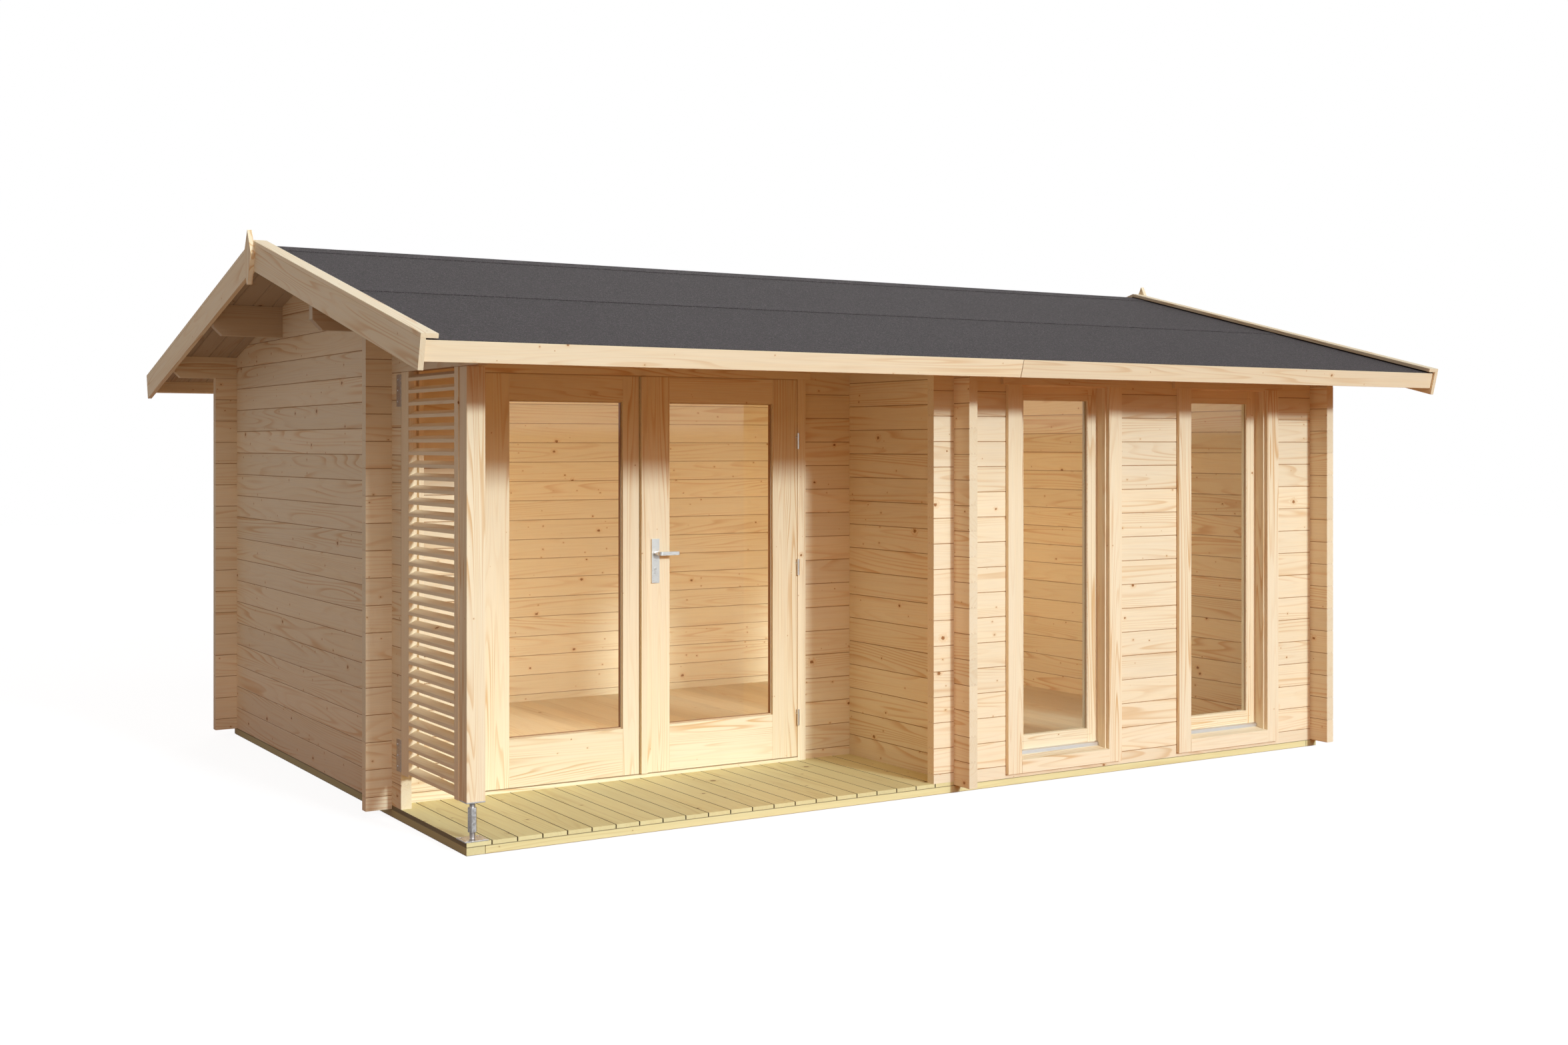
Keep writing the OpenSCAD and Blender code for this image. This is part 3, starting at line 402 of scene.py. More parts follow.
def lap_shadow(shade, base, z, top):
    """Darkens a piece just under the boards that lie on its top."""
    return shade.mix(shade.step(z, top - LAP_FADE[0], top - LAP_FADE[1], 0.0, LAP_SHARE), base, GAP_COLOUR)


def finish_wood(shade, base, height, fibre):
    shade.set(Base_Color=base, Roughness=shade.step(fibre, *NOISE_SPAN, *WOOD_ROUGHNESS))
    shade.set(Specular_IOR_Level=WOOD_SPECULAR)
    shade.bump(height, GRAIN_RELIEF, GRAIN_STRENGTH)
    return shade.material


def wood(
    name, axis, palette=SPRUCE, rows=None, gaps=None, figure=0.75, knots=0.4, across=8.0, knot_size=1.0
):
    shade = Shade(name)
    axes = axis_sockets(shade, axis)
    z = axes[0] if axis == "z" else axes[2]
    draws = piece_draws(shade, rows, z)
    sawn = end_grain(shade, axis)
    base, height, fibre = wood_colour(shade, axes, draws, palette, figure, knots, across, sawn, knot_size)
    if rows is not None:
        base = joint_shadow(shade, base, rows, z, sawn)
    if gaps is not None:
        base = gap_shadow(shade, base, gaps)
    return finish_wood(shade, base, height, fibre)


def crossed_wood(
    name, first_axis, second_axis, palette, coordinate, low, high, figure, knots, across, top=None
):
    """Wood of a node whose pieces run two ways: the second axis between low and high of a coordinate."""
    shade = Shade(name)
    place = dict(zip("xyz", shade.place()))
    first = axis_sockets(shade, first_axis)
    second = axis_sockets(shade, second_axis)
    over = shade.math("GREATER_THAN", place[coordinate], low)
    under = shade.math("LESS_THAN", place[coordinate], high)
    inside = shade.math("MULTIPLY", over, under)
    axes = [shade.node("ShaderNodeMix", {0: inside, 2: f, 3: s}).outputs[0] for f, s in zip(first, second)]
    draws = piece_draws(shade, None, place["z"])
    ends = [end_grain(shade, axis) for axis in (first_axis, second_axis)]
    sawn = shade.node("ShaderNodeMix", {0: inside, 2: ends[0], 3: ends[1]}).outputs[0]
    base, height, fibre = wood_colour(shade, axes, draws, palette, figure, knots, across, sawn)
    if top is not None:
        # Painted shade on the side faces along x, and a painted shadow just under the boards that lie on
        # top
        base = gap_shadow(shade, base, "x", SIDE_SHADE_SHARE, SIDE_SHADE_COLOUR)
        base = lap_shadow(shade, base, place["z"], top)
    return finish_wood(shade, base, height, fibre)


# Felt, glass and metal

FELT_GRAIN = 420.0
FELT_CLOUD = 85.0
FELT_CLOUDS = (0.32, 0.68, 0.60, 1.34)
FELT_DEEP = colour(0.0225, 0.0182, 0.0184)
FELT_STONE = colour(0.071, 0.0575, 0.0585)
FELT_GLINT = colour(0.142, 0.118, 0.12)
FELT_GLINTS = (0.84, 0.90)
FELT_ROUGHNESS = (0.82, 0.97)
FELT_SPECULAR = 0.25
FELT_RELIEF = 1.2 * MM
FELT_STRENGTH = 0.7
PANE_TINT = colour(0.965, 0.985, 0.975)
PANE_SHADOW = colour(0.93, 0.95, 0.94)
PANE_IOR = 1.42
PANE_SMEAR = 5.0
PANE_SMEARS = (0.4, 0.8, 0.0, 0.02)
FLAKE_SCALE = 160.0
METAL_RELIEF = 0.05 * MM
METAL_STRENGTH = 0.3
GAP_ROUGHNESS = (0.3, 0.7, 0.7, 0.95)
GAP_RELIEF = 0.1 * MM
GAP_STRENGTH = 0.4


def felt():
    shade = Shade("granule_felt")
    place = shade.vector(*shade.place())
    grains = shade.node("ShaderNodeTexVoronoi", {"Vector": place, "Scale": FELT_GRAIN})
    pick, other, _ = shade.split(grains.outputs["Color"])
    cloud = shade.noise(place, scale=FELT_CLOUD, detail=3.0, roughness=0.75)
    dark = shade.mix(pick, FELT_DEEP, FELT_STONE)
    lit = shade.mix(shade.step(other, *FELT_GLINTS), dark, FELT_GLINT)
    value = shade.grey(shade.step(cloud, *FELT_CLOUDS))
    shade.set(Base_Color=shade.mix(1.0, lit, value, "MULTIPLY"))
    shade.set(Roughness=shade.step(pick, 0.0, 1.0, *FELT_ROUGHNESS), Specular_IOR_Level=FELT_SPECULAR)
    shade.bump(grains.outputs["Distance"], FELT_RELIEF, FELT_STRENGTH)
    return shade.material


def glass():
    """Clear panes that let the lamp through to the room."""
    shade = Shade("clear_pane")
    place = shade.vector(*shade.place())
    smear = shade.noise(place, scale=PANE_SMEAR, detail=3.0)
    shade.set(Base_Color=PANE_TINT, Transmission_Weight=1.0, IOR=PANE_IOR)
    shade.set(Roughness=shade.step(smear, *PANE_SMEARS))
    shadow = shade.node("ShaderNodeLightPath").outputs["Is Shadow Ray"]
    clear = shade.node("ShaderNodeBsdfTransparent", {"Color": PANE_SHADOW})
    both = shade.node("ShaderNodeMixShader", {0: shadow, 1: shade.surface.outputs[0], 2: clear.outputs[0]})
    shade.put(shade.tree.nodes["Material Output"].inputs["Surface"], both.outputs[0])
    return shade.material


def metal(name, pale, dull, low, high, stretch, spangle):
    """Plated or anodised metal: brushed one way, with faint crystal patches where it is galvanised."""
    shade = Shade(name)
    axes = shade.place()
    hair = shade.noise(stretched(shade, axes, stretch), detail=3.0, roughness=0.6)
    flakes = shade.node("ShaderNodeTexVoronoi", {"Vector": shade.vector(*axes), "Scale": FLAKE_SCALE})
    flake, _, _ = shade.split(flakes.outputs["Color"])
    share = shade.math("MULTIPLY_ADD", flake, spangle, shade.math("MULTIPLY", hair, 1.0 - spangle))
    shade.set(Base_Color=shade.mix(share, dull, pale), Metallic=1.0)
    shade.set(Roughness=shade.step(share, *NOISE_SPAN, high, low))
    shade.bump(hair, METAL_RELIEF, METAL_STRENGTH)
    return shade.material


def dark_gap(name, deep, edge, scale):
    """A colour of painted shade for narrow gaps, seams, holes, seals and beads, uneven as such a line is.
    """
    shade = Shade(name)
    uneven = shade.noise(shade.vector(*shade.place()), scale=scale, detail=2.0)
    shade.set(Base_Color=shade.mix(uneven, deep, edge), Roughness=shade.step(uneven, *GAP_ROUGHNESS))
    shade.bump(uneven, GAP_RELIEF, GAP_STRENGTH)
    return shade.material


log_x = wood("logs_along_x", "x", rows=x_rows, figure=0.58, knots=0.55, knot_size=0.9)
log_y = wood("logs_along_y", "y", rows=y_rows, figure=0.75, knots=0.55, knot_size=0.9)
board_x = wood("boards_along_x", "x", figure=0.85, knots=0.26, across=12.0, knot_size=0.5)
edge_board_x = wood("edge_boards_along_x", "x", figure=0.5, knots=0.45, across=12.0, knot_size=0.55)
edge_board_slope = wood("edge_boards_on_slope", "slope", figure=0.7, knots=0.3, across=10.0, knot_size=0.6)
# The purlins and the roof boards take the copies of the spruce with painted shade
shaded_purlin_board = wood("purlin_boards_painted_shade", "x", PURLIN_PAINTED_SHADE, figure=0.6, knots=0.3, across=10.0, knot_size=0.8)
board_z = wood("boards_upright", "z", figure=0.85, knots=0.22, across=12.0, knot_size=0.5)
shaded_roof_plank = wood("roof_planks", "slope", ROOF_PAINTED_SHADE, figure=0.55, knots=0.5, across=9.0)
floor_plank = wood("floor_planks", "y", FLOORING, figure=0.4, knots=0.25, across=9.0)
treated_deck = wood("treated_deck", "y", TREATED, gaps="x", figure=0.5, knots=0.4, across=9.0)
granules = felt()
pane = glass()
satin_steel = metal(
    "satin_steel", colour(0.88, 0.83, 0.78), colour(0.70, 0.66, 0.62),
    0.24, 0.40, (40.0, 400.0, 900.0), 0.0,
)
galvanised = metal(
    "galvanised_steel", colour(0.64, 0.585, 0.555), colour(0.43, 0.395, 0.38),
    0.30, 0.48, (60.0, 60.0, 60.0), 0.7,
)
anodised = metal(
    "anodised_strip", colour(0.76, 0.74, 0.74), colour(0.66, 0.64, 0.63),
    0.38, 0.50, (30.0, 900.0, 900.0), 0.0,
)
# Painted shade: the fascia's butt gap, the tongue seams on the log ends, the door beads as the shaded
# reveal, the seals, the sash line, the door gaps and the key slot
butt_gap_shade = dark_gap("butt_gap_painted_shade", colour(0.16, 0.07, 0.03), colour(0.34, 0.18, 0.08), 90.0)
tongue_seam_shade = dark_gap("tongue_seam_painted_shade", colour(0.46, 0.26, 0.12), colour(0.60, 0.40, 0.21), 90.0)
leaf_bead_shade = dark_gap("leaf_bead_painted_shade", colour(0.34, 0.135, 0.05), colour(0.45, 0.20, 0.08), 60.0)
painted_shade_brown = dark_gap("seal_and_gap_painted_shade", colour(0.60, 0.40, 0.22), colour(0.72, 0.52, 0.31), 60.0)
key_slot_shade = dark_gap("key_slot", colour(0.02, 0.02, 0.02), colour(0.07, 0.065, 0.06), 400.0)

louvre_low, louvre_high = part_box("louvre_screen")
FRONT_STILE_W = 42 * MM
REAR_STILE_W = 90 * MM
louvre_wood = crossed_wood(
    "louvre_wood", "z", "y", SPRUCE, "y", louvre_low.y + FRONT_STILE_W, louvre_high.y - REAR_STILE_W,
    figure=0.32, knots=0.12, across=11.0,
)
bearer_low, bearer_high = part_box("foundation_bearers")
BEARER_W = 80 * MM
bearer_wood = crossed_wood(
    "treated_bearers", "y", "x", TREATED, "x", bearer_low.x + BEARER_W, bearer_high.x - BEARER_W,
    figure=0.4, knots=0.25, across=9.0, top=bearer_high.z,
)

FINISHES = {
    log_x: "back_wall door_wall_piers door_lintel front_bottom_log front_wall_piers front_lintel",
    log_y: "left_gable_wall left_gable_top right_gable_wall return_wall",
    board_x: "eaves_logs head_casings door_head door_sill left_leaf_rails right_leaf_rails "
             "window_heads window_bottoms window_sills sash_rails",
    edge_board_x: "fascias",
    edge_board_slope: "bargeboards barge_caps",
    shaded_purlin_board: "purlins",
    board_z: "gable_finials corner_post side_casings door_jambs left_leaf_stiles right_leaf_stiles "
             "cover_strip window_jambs sash_stiles",
    floor_plank: "floor",
    shaded_roof_plank: "roof_boards",
    treated_deck: "porch_deck",
    bearer_wood: "foundation_bearers",
    louvre_wood: "louvre_screen",
    granules: "roof_felt",
    pane: "left_leaf_glass right_leaf_glass window_glass",
    satin_steel: "handle_plates door_handle left_leaf_hinges right_leaf_hinges frame_hinges",
    galvanised: "post_foot screen_straps",
    anodised: "window_drips",
}
for material, names in FINISHES.items():
    for name in names.split():
        nodes[name].data.materials.clear()
        nodes[name].data.materials.append(material)

# Width of the rounded edges of each node
ROUNDED = {
    2.0 * MM: "porch_deck foundation_bearers corner_post purlins fascias bargeboards barge_caps",
    1.5 * MM: "side_casings head_casings door_sill window_sills cover_strip left_leaf_stiles "
              "right_leaf_stiles left_leaf_rails right_leaf_rails sash_stiles sash_rails eaves_logs "
              "gable_finials",
    0.8 * MM: "door_jambs door_head window_jambs window_heads window_bottoms louvre_screen handle_plates "
              "door_handle window_drips screen_straps post_foot",
}
BEVEL_ANGLE = math.radians(40)
BEVEL_SEGMENTS = 2


def plain_normals():
    """Nodes that drop a mesh's stored normals, so that flat faces stay flat when edges are rounded."""
    group = bpy.data.node_groups.new("plain_normals", "GeometryNodeTree")
    for way in ("INPUT", "OUTPUT"):
        group.interface.new_socket("Geometry", in_out=way, socket_type="NodeSocketGeometry")
    start = group.nodes.new("NodeGroupInput")
    drop = group.nodes.new("GeometryNodeRemoveAttribute")
    drop.inputs["Name"].default_value = "custom_normal"
    end = group.nodes.new("NodeGroupOutput")
    group.links.new(start.outputs[0], drop.inputs[0])
    group.links.new(drop.outputs[0], end.inputs[0])
    return group


dropped = plain_normals()


def soften(obj, width):
    plain = obj.modifiers.new("plain_normals", "NODES")
    plain.node_group = dropped
    weld = obj.modifiers.new("weld", "WELD")
    weld.merge_threshold = WELD
    bevel = obj.modifiers.new("rounded_edges", "BEVEL")
    bevel.width = width
    bevel.segments = BEVEL_SEGMENTS
    bevel.limit_method = "ANGLE"
    bevel.angle_limit = BEVEL_ANGLE
    bevel.use_clamp_overlap = True


for width, names in ROUNDED.items():
    for name in names.split():
        soften(nodes[name], width)


# Mesh making

def loft(bm, rings, closed=False):
    """Skins rings of points into one solid; a closed loft joins its last ring to its first."""
    made = [[bm.verts.new(p) for p in ring] for ring in rings]
    pairs = list(zip(made, made[1:]))
    if closed:
        pairs.append((made[-1], made[0]))
    else:
        bm.faces.new(made[0][::-1])
        bm.faces.new(made[-1])
    count = len(made[0])
    for first, second in pairs:
        for i in range(count):
            j = (i + 1) % count
            bm.faces.new((first[i], first[j], second[j], second[i]))


def piece(name, bm, material, body, stands_for=()):
    bmesh.ops.recalc_face_normals(bm, faces=bm.faces)
    mesh = bpy.data.meshes.new(name)
    bm.to_mesh(mesh)
    bm.free()
    mesh.materials.append(material)
    obj = bpy.data.objects.new(name, mesh)
    bpy.context.scene.collection.objects.link(obj)
    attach(obj, body)
    if stands_for:
        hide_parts(*stands_for)
    return obj


# Roof planks, laid from ridge to eaves, with chamfered lower edges that show as V joints from below

ridge_z = boards_high.z - ROOF_BOARD_T / math.cos(PITCH)
slope_l = (ridge_y - boards_low.y - ROOF_BOARD_T * math.sin(PITCH)) / math.cos(PITCH)
PLANK_W = 100 * MM
PLANK_CHAMFER = 4 * MM
PLANK_SEAM = 0.6 * MM


def on_slope(side, x, down, up):
    """A point on a side of the roof: so far down from the ridge and up from the boards' underside."""
    y = down * math.cos(PITCH) + up * math.sin(PITCH)
    z = up * math.cos(PITCH) - down * math.sin(PITCH)
    return Vector((x, ridge_y + side * y, ridge_z + z))


def ridge_cut(up):
    """Where a point at that height meets the upright plane through the ridge."""
    return -up * math.tan(PITCH)


def roof_planks():
    bm = bmesh.new()
    count = round((boards_high.x - boards_low.x) / PLANK_W)
    width = (boards_high.x - boards_low.x) / count
    for side in (-1, 1):
        for i in range(count):
            x0 = boards_low.x + i * width + PLANK_SEAM / 2
            x1 = boards_low.x + (i + 1) * width - PLANK_SEAM / 2
            section = [
                (x0 + PLANK_CHAMFER, 0.0), (x1 - PLANK_CHAMFER, 0.0), (x1, PLANK_CHAMFER),
                (x1, ROOF_BOARD_T), (x0, ROOF_BOARD_T), (x0, PLANK_CHAMFER),
            ]
            top = [on_slope(side, x, ridge_cut(up), up) for x, up in section]
            foot = [on_slope(side, x, slope_l, up) for x, up in section]
            loft(bm, [top, foot])
    return piece("roof_planking", bm, shaded_roof_plank, "house", ["roof_boards"])


roof_planks()


# Felt: a strip along each eaves, a strip over it and a strip along the ridge, each lapping the one below

felt_low_corner, felt_high_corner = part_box("roof_felt")
FELT_SHEET = 2.2 * MM
FELT_LAP = 60 * MM
EAVES_LAP_AT = 1235 * MM
RIDGE_LAP_AT = 130 * MM
FELT_STEP = 90 * MM
FELT_WAVER = 1.5 * MM
FELT_CLEAR = 0.1 * MM
FELT_SEED = 7
felt_base = ROOF_BOARD_T + FELT_CLEAR
felt_end = (ridge_y - felt_low_corner.y - felt_base * math.sin(PITCH)) / math.cos(PITCH) - FELT_SHEET


def felt_strips():
    bm = bmesh.new()
    draw = random.Random(FELT_SEED)
    length = felt_high_corner.x - felt_low_corner.x
    count = round(length / FELT_STEP)
    stations = [felt_low_corner.x + i * length / count for i in range(count + 1)]
    for side in (-1, 1):
        for top, bottom, lapped in (
            (EAVES_LAP_AT - FELT_LAP, felt_end, False),
            (RIDGE_LAP_AT - FELT_LAP, EAVES_LAP_AT, True),
        ):
            rings = []
            for x in stations:
                edge = bottom + (draw.uniform(-FELT_WAVER, FELT_WAVER) if lapped else 0.0)
                low = felt_base + (FELT_SHEET if lapped else 0.0)
                rings.append([
                    on_slope(side, x, top, felt_base), on_slope(side, x, bottom - 2 * FELT_LAP, felt_base),
                    on_slope(side, x, bottom - FELT_LAP, low), on_slope(side, x, edge, low),
                    on_slope(side, x, edge, low + FELT_SHEET),
                    on_slope(side, x, bottom - FELT_LAP, low + FELT_SHEET),
                    on_slope(side, x, bottom - 2 * FELT_LAP, felt_base + FELT_SHEET),
                    on_slope(side, x, top, felt_base + FELT_SHEET),
                ])
            loft(bm, rings)
    rings = []
    for x in stations:
        front, back = (RIDGE_LAP_AT + draw.uniform(-FELT_WAVER, FELT_WAVER) for _ in range(2))
        low = felt_base + FELT_SHEET
        high = low + FELT_SHEET
        rings.append([
            on_slope(-1, x, front, low), on_slope(-1, x, ridge_cut(low), low),
            on_slope(1, x, back, low), on_slope(1, x, back, high),
            on_slope(-1, x, ridge_cut(high), high), on_slope(-1, x, front, high),
        ])
    loft(bm, rings)
    return piece("felt_strips", bm, granules, "house", ["roof_felt"])


felt_strips()


# Floor planks from front to back, in the room and in the bay behind the doors

FLOOR_PLANK_W = 96 * MM
FLOOR_SEAM = 0.5 * MM
FLOOR_CHAMFER = 0.6 * MM
floor_low, floor_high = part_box("floor")
return_low, return_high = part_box("return_wall")
door_wall_low, door_wall_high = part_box("door_wall_piers")


def floor_planks():
    bm = bmesh.new()
    count = round((floor_high.x - floor_low.x) / FLOOR_PLANK_W)
    width = (floor_high.x - floor_low.x) / count
    back = floor_high.y
    zones = (
        (floor_low.x, return_low.x, [(door_wall_high.y, back)]),
        (return_low.x, return_high.x, [(max(return_high.y, door_wall_high.y), back)]),
        (return_high.x, door_wall_high.x, [(floor_low.y, door_wall_low.y), (door_wall_high.y, back)]),
        (door_wall_high.x, floor_high.x, [(floor_low.y, back)]),
    )
    for i in range(count):
        for left, right, runs in zones:
            x0 = max(floor_low.x + i * width + FLOOR_SEAM / 2, left)
            x1 = min(floor_low.x + (i + 1) * width - FLOOR_SEAM / 2, right)
            if x1 - x0 < 2 * FLOOR_CHAMFER:
                continue
            section = [
                (x0, floor_low.z), (x1, floor_low.z), (x1, floor_high.z - FLOOR_CHAMFER),
                (x1 - FLOOR_CHAMFER, floor_high.z), (x0 + FLOOR_CHAMFER, floor_high.z),
                (x0, floor_high.z - FLOOR_CHAMFER),
            ]
            for run in runs:
                loft(bm, [[Vector((x, y, z)) for x, z in section] for y in run])
    return piece("floor_planking", bm, floor_plank, "house", ["floor"])


floor_planks()


# Ends of the logs: the outline of the two tongues that lock each log to the next, drawn as a thin strip in
# painted shade

TONGUE_AT = 9 * MM
TONGUE_W = 7 * MM
TONGUE_H = 6 * MM
TONGUE_DRAFT = 1 * MM
LINE_HALF = 0.5 * MM
LINE_PROUD = 0.3 * MM
LINE_DEEP = 0.6 * MM


def tongue_path(centre):
    """A tongue's outline on a log end, as offsets across and up."""
    return [
        (centre - TONGUE_W / 2, 0.0), (centre - TONGUE_W / 2 + TONGUE_DRAFT, TONGUE_H),
        (centre + TONGUE_W / 2 - TONGUE_DRAFT, TONGUE_H), (centre + TONGUE_W / 2, 0.0),
    ]


def end_line(bm, axis, end, outwards, middle, tongue, z):
    """One tongue's outline on a log end that faces along the axis."""
    rings = []
    for across, up in tongue_path(tongue):
        ring = []
        for lift, out in ((-1, -LINE_DEEP), (1, -LINE_DEEP), (1, LINE_PROUD), (-1, LINE_PROUD)):
            along = end + outwards * out
            side = middle + across
            height = z + up + lift * LINE_HALF
            ring.append(Vector((along, side, height)) if axis == "x" else Vector((side, along, height)))
        rings.append(ring)
    loft(bm, rings)


def log_end_lines():
    bm = bmesh.new()
    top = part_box("left_gable_wall")[1].z
    front_low, front_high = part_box("front_wall_piers")
    back_low, back_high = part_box("back_wall")
    ends = []
    for name in ("left_gable_wall", "right_gable_wall", "return_wall"):
        low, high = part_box(name)
        ends += [("y", low.y, -1, (low.x + high.x) / 2), ("y", high.y, 1, (low.x + high.x) / 2)]
    for low, high in ((front_low, front_high), (back_low, back_high), (door_wall_low, door_wall_high)):
        ends += [("x", low.x, -1, (low.y + high.y) / 2), ("x", high.x, 1, (low.y + high.y) / 2)]
    for axis, end, outwards, middle in ends:
        z = log_base + (LOG_H / 2 if axis == "x" else LOG_H)
        while z < top - LOG_H / 4:
            for tongue in (-TONGUE_AT, TONGUE_AT):
                end_line(bm, axis, end, outwards, middle, tongue, z)
            z += LOG_H
    return piece("log_end_joints", bm, tongue_seam_shade, "house")


log_end_lines()


# The butt joint in the middle of each fascia, a strip in painted shade where the gap is

BUTT_HALF = 1.2 * MM
BUTT_LEAN = 4 * MM
FASCIA_H = 82 * MM
FASCIA_T = 22 * MM


def fascia_joints():
    bm = bmesh.new()
    middle = (boards_low.x + boards_high.x) / 2
    face = slope_l + FASCIA_T
    for side in (-1, 1):
        rings = []
        for up in (ROOF_BOARD_T - FASCIA_H, ROOF_BOARD_T):
            lean = BUTT_LEAN * (up - ROOF_BOARD_T) / FASCIA_H
            rings.append([
                on_slope(side, middle + lean + dx, face + out, up)
                for dx, out in (
                    (-BUTT_HALF, -LINE_DEEP), (BUTT_HALF, -LINE_DEEP), (BUTT_HALF, LINE_PROUD),
                    (-BUTT_HALF, LINE_PROUD),
                )
            ])
        loft(bm, rings)
    return piece("fascia_joints", bm, butt_gap_shade, "house")


fascia_joints()


# Glazing beads and seals, and the moulded line on the window sashes; the door beads, the seals and the line
# are coloured as painted shade

WINDOW_COUNT = 2
BEAD_W = 4 * MM
BEAD_LINE_AT = 24 * MM
BEAD_LINE_HALF = 0.7 * MM
LEAF_BEAD_W = 6 * MM
BEAD_SHOULDER = 3 * MM
BEAD_ROUND = 0.3
BEAD_SINK = 0.2 * MM
BEAD_SETBACK = 2 * MM
SEAL_W = 5.5 * MM
SASH_SEAL_W = 1.5 * MM
SEAL_T = 1.5 * MM


def framed(bm, low_x, high_x, low_z, high_z, section):
    """A mitred frame just inside an opening: section is its outline as (inset, y) points."""
    corners = ((0, 0), (1, 0), (1, 1), (0, 1))
    rings = []
    for right, top in corners:
        rings.append([
            Vector((
                high_x - inset if right else low_x + inset, y,
                high_z - inset if top else low_z + inset,
            ))
            for inset, y in section
        ])
    loft(bm, rings, closed=True)


def bead_section(glass_y, face_y, width):
    """A bead from the glass to near the face, with its free edge rounded."""
    out = 1 if face_y > glass_y else -1
    rise = abs(face_y - glass_y)
    return [
        (-BEAD_SINK, glass_y), (width, glass_y), (width, glass_y + out * (rise - BEAD_SHOULDER)),
        (width - BEAD_ROUND * BEAD_SHOULDER, glass_y + out * (rise - BEAD_ROUND * BEAD_SHOULDER)),
        (width - BEAD_SHOULDER, glass_y + out * rise), (-BEAD_SINK, glass_y + out * rise),
    ]


def pane_boxes(name, count):
    """Each pane of a node as (low, high): the panes stand side by side and are alike."""
    low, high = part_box(name)
    xs = sorted({round(v.co.x, 5) for v in nodes[name].data.vertices})
    half = len(xs) // count
    runs = [(xs[i * half], xs[(i + 1) * half - 1]) for i in range(count)]
    return [(Vector((a, low.y, low.z)), Vector((b, high.y, high.z))) for a, b in runs]


def opening(low, high):
    """The free opening in front of a pane."""
    return low.x + GLASS_GRIP, high.x - GLASS_GRIP, low.z + GLASS_GRIP, high.z - GLASS_GRIP


def bead_pieces(name, glass_node, count, body, face_y, back_y, outer):
    """Beads behind each pane, seals in front of it, and beads in front too where outer says so; the door
    beads and the seals are coloured as painted shade.
    """
    beads = bmesh.new()
    seals = bmesh.new()
    seal_w = SASH_SEAL_W if outer else SEAL_W
    for low, high in pane_boxes(glass_node, count):
        free = opening(low, high)
        framed(beads, *free, bead_section(high.y, back_y, BEAD_W if outer else LEAF_BEAD_W))
        if outer:
            framed(beads, *free, bead_section(low.y, face_y + BEAD_SETBACK, BEAD_W))
        inset = BEAD_W if outer else 0.0
        framed(seals, *free, [
            (inset - BEAD_SINK, low.y), (inset + seal_w, low.y), (inset + seal_w, low.y - 0.5 * SEAL_T),
            (inset + 0.5 * seal_w, low.y - SEAL_T), (inset - BEAD_SINK, low.y - SEAL_T),
        ])
    piece(name + "_beads", beads, board_x if outer else leaf_bead_shade, body)
    piece(name + "_seals", seals, painted_shade_brown, body)


def sash_lines(face_y):
    bm = bmesh.new()
    section = [
        (side * BEAD_LINE_HALF - BEAD_LINE_AT, face_y + depth)
        for side, depth in ((-1, -LINE_PROUD), (1, -LINE_PROUD), (1, LINE_DEEP), (-1, LINE_DEEP))
    ]
    for low, high in pane_boxes("window_glass", WINDOW_COUNT):
        framed(bm, *opening(low, high), section)
    # The moulded line on the sashes is drawn in painted shade, as the shade in its groove
    return piece("window_bead_lines", bm, painted_shade_brown, "house")


sash_low, sash_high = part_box("sash_stiles")
for side in ("left", "right"):
    low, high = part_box(side + "_leaf_stiles")
    bead_pieces(side + "_leaf", side + "_leaf_glass", 1, side + "_door", low.y, high.y, False)
bead_pieces("window", "window_glass", WINDOW_COUNT, "house", sash_low.y, sash_high.y, True)
sash_lines(sash_low.y)


# Strips in painted shade that fill the gap between the leaves and their frame

LEAF_GAP = 5 * MM
DOOR_SHADE_BACK = 2.5 * MM
DOOR_SHADE_DEEP = 8 * MM
DOOR_SHADE_FREE = 1 * MM


def door_seals():
    bm = bmesh.new()
    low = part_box("left_leaf_stiles")[0]
    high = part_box("right_leaf_stiles")[1]
    under_head = high.z + DOOR_SHADE_FREE
    for x0, x1, z0, z1 in (
        (low.x - LEAF_GAP, low.x - DOOR_SHADE_FREE, low.z, under_head),
        (high.x + DOOR_SHADE_FREE, high.x + LEAF_GAP, low.z, under_head),
        (low.x - LEAF_GAP, high.x + LEAF_GAP, under_head, high.z + LEAF_GAP),
    ):
        front = low.y + DOOR_SHADE_BACK
        loft(bm, [
            [Vector((x, y, z)) for x, z in ((x0, z0), (x1, z0), (x1, z1), (x0, z1))]
            for y in (front, front + DOOR_SHADE_DEEP)
        ])
    return piece("door_seals", bm, painted_shade_brown, "house")


door_seals()


# The foot's thread, the straps' screws and the key slot

SCREW_R = 4.5 * MM
SCREW_H = 2.2 * MM
SCREW_SINK = 0.5 * MM
SCREW_SIDES = 18
SOCKET_DEEP = 0.45
THREAD_PITCH = 2.5 * MM
THREAD_DEPTH = 1.2 * MM
THREAD_SINK = 0.4 * MM
THREAD_HALF = 0.42
THREAD_STEPS = 20


def turned(bm, base, axis, profile, sides):
    """A solid of rings about an axis: profile holds (radius, height) from the base outwards."""
    across = axis.orthogonal().normalized()
    other = axis.cross(across)
    rings = []
    for radius, height in profile:
        ring = []
        for i in range(sides):
            angle = 2 * math.pi * i / sides
            spoke = across * math.cos(angle) + other * math.sin(angle)
            ring.append(base + axis * height + radius * spoke)
        rings.append(ring)
    loft(bm, rings)


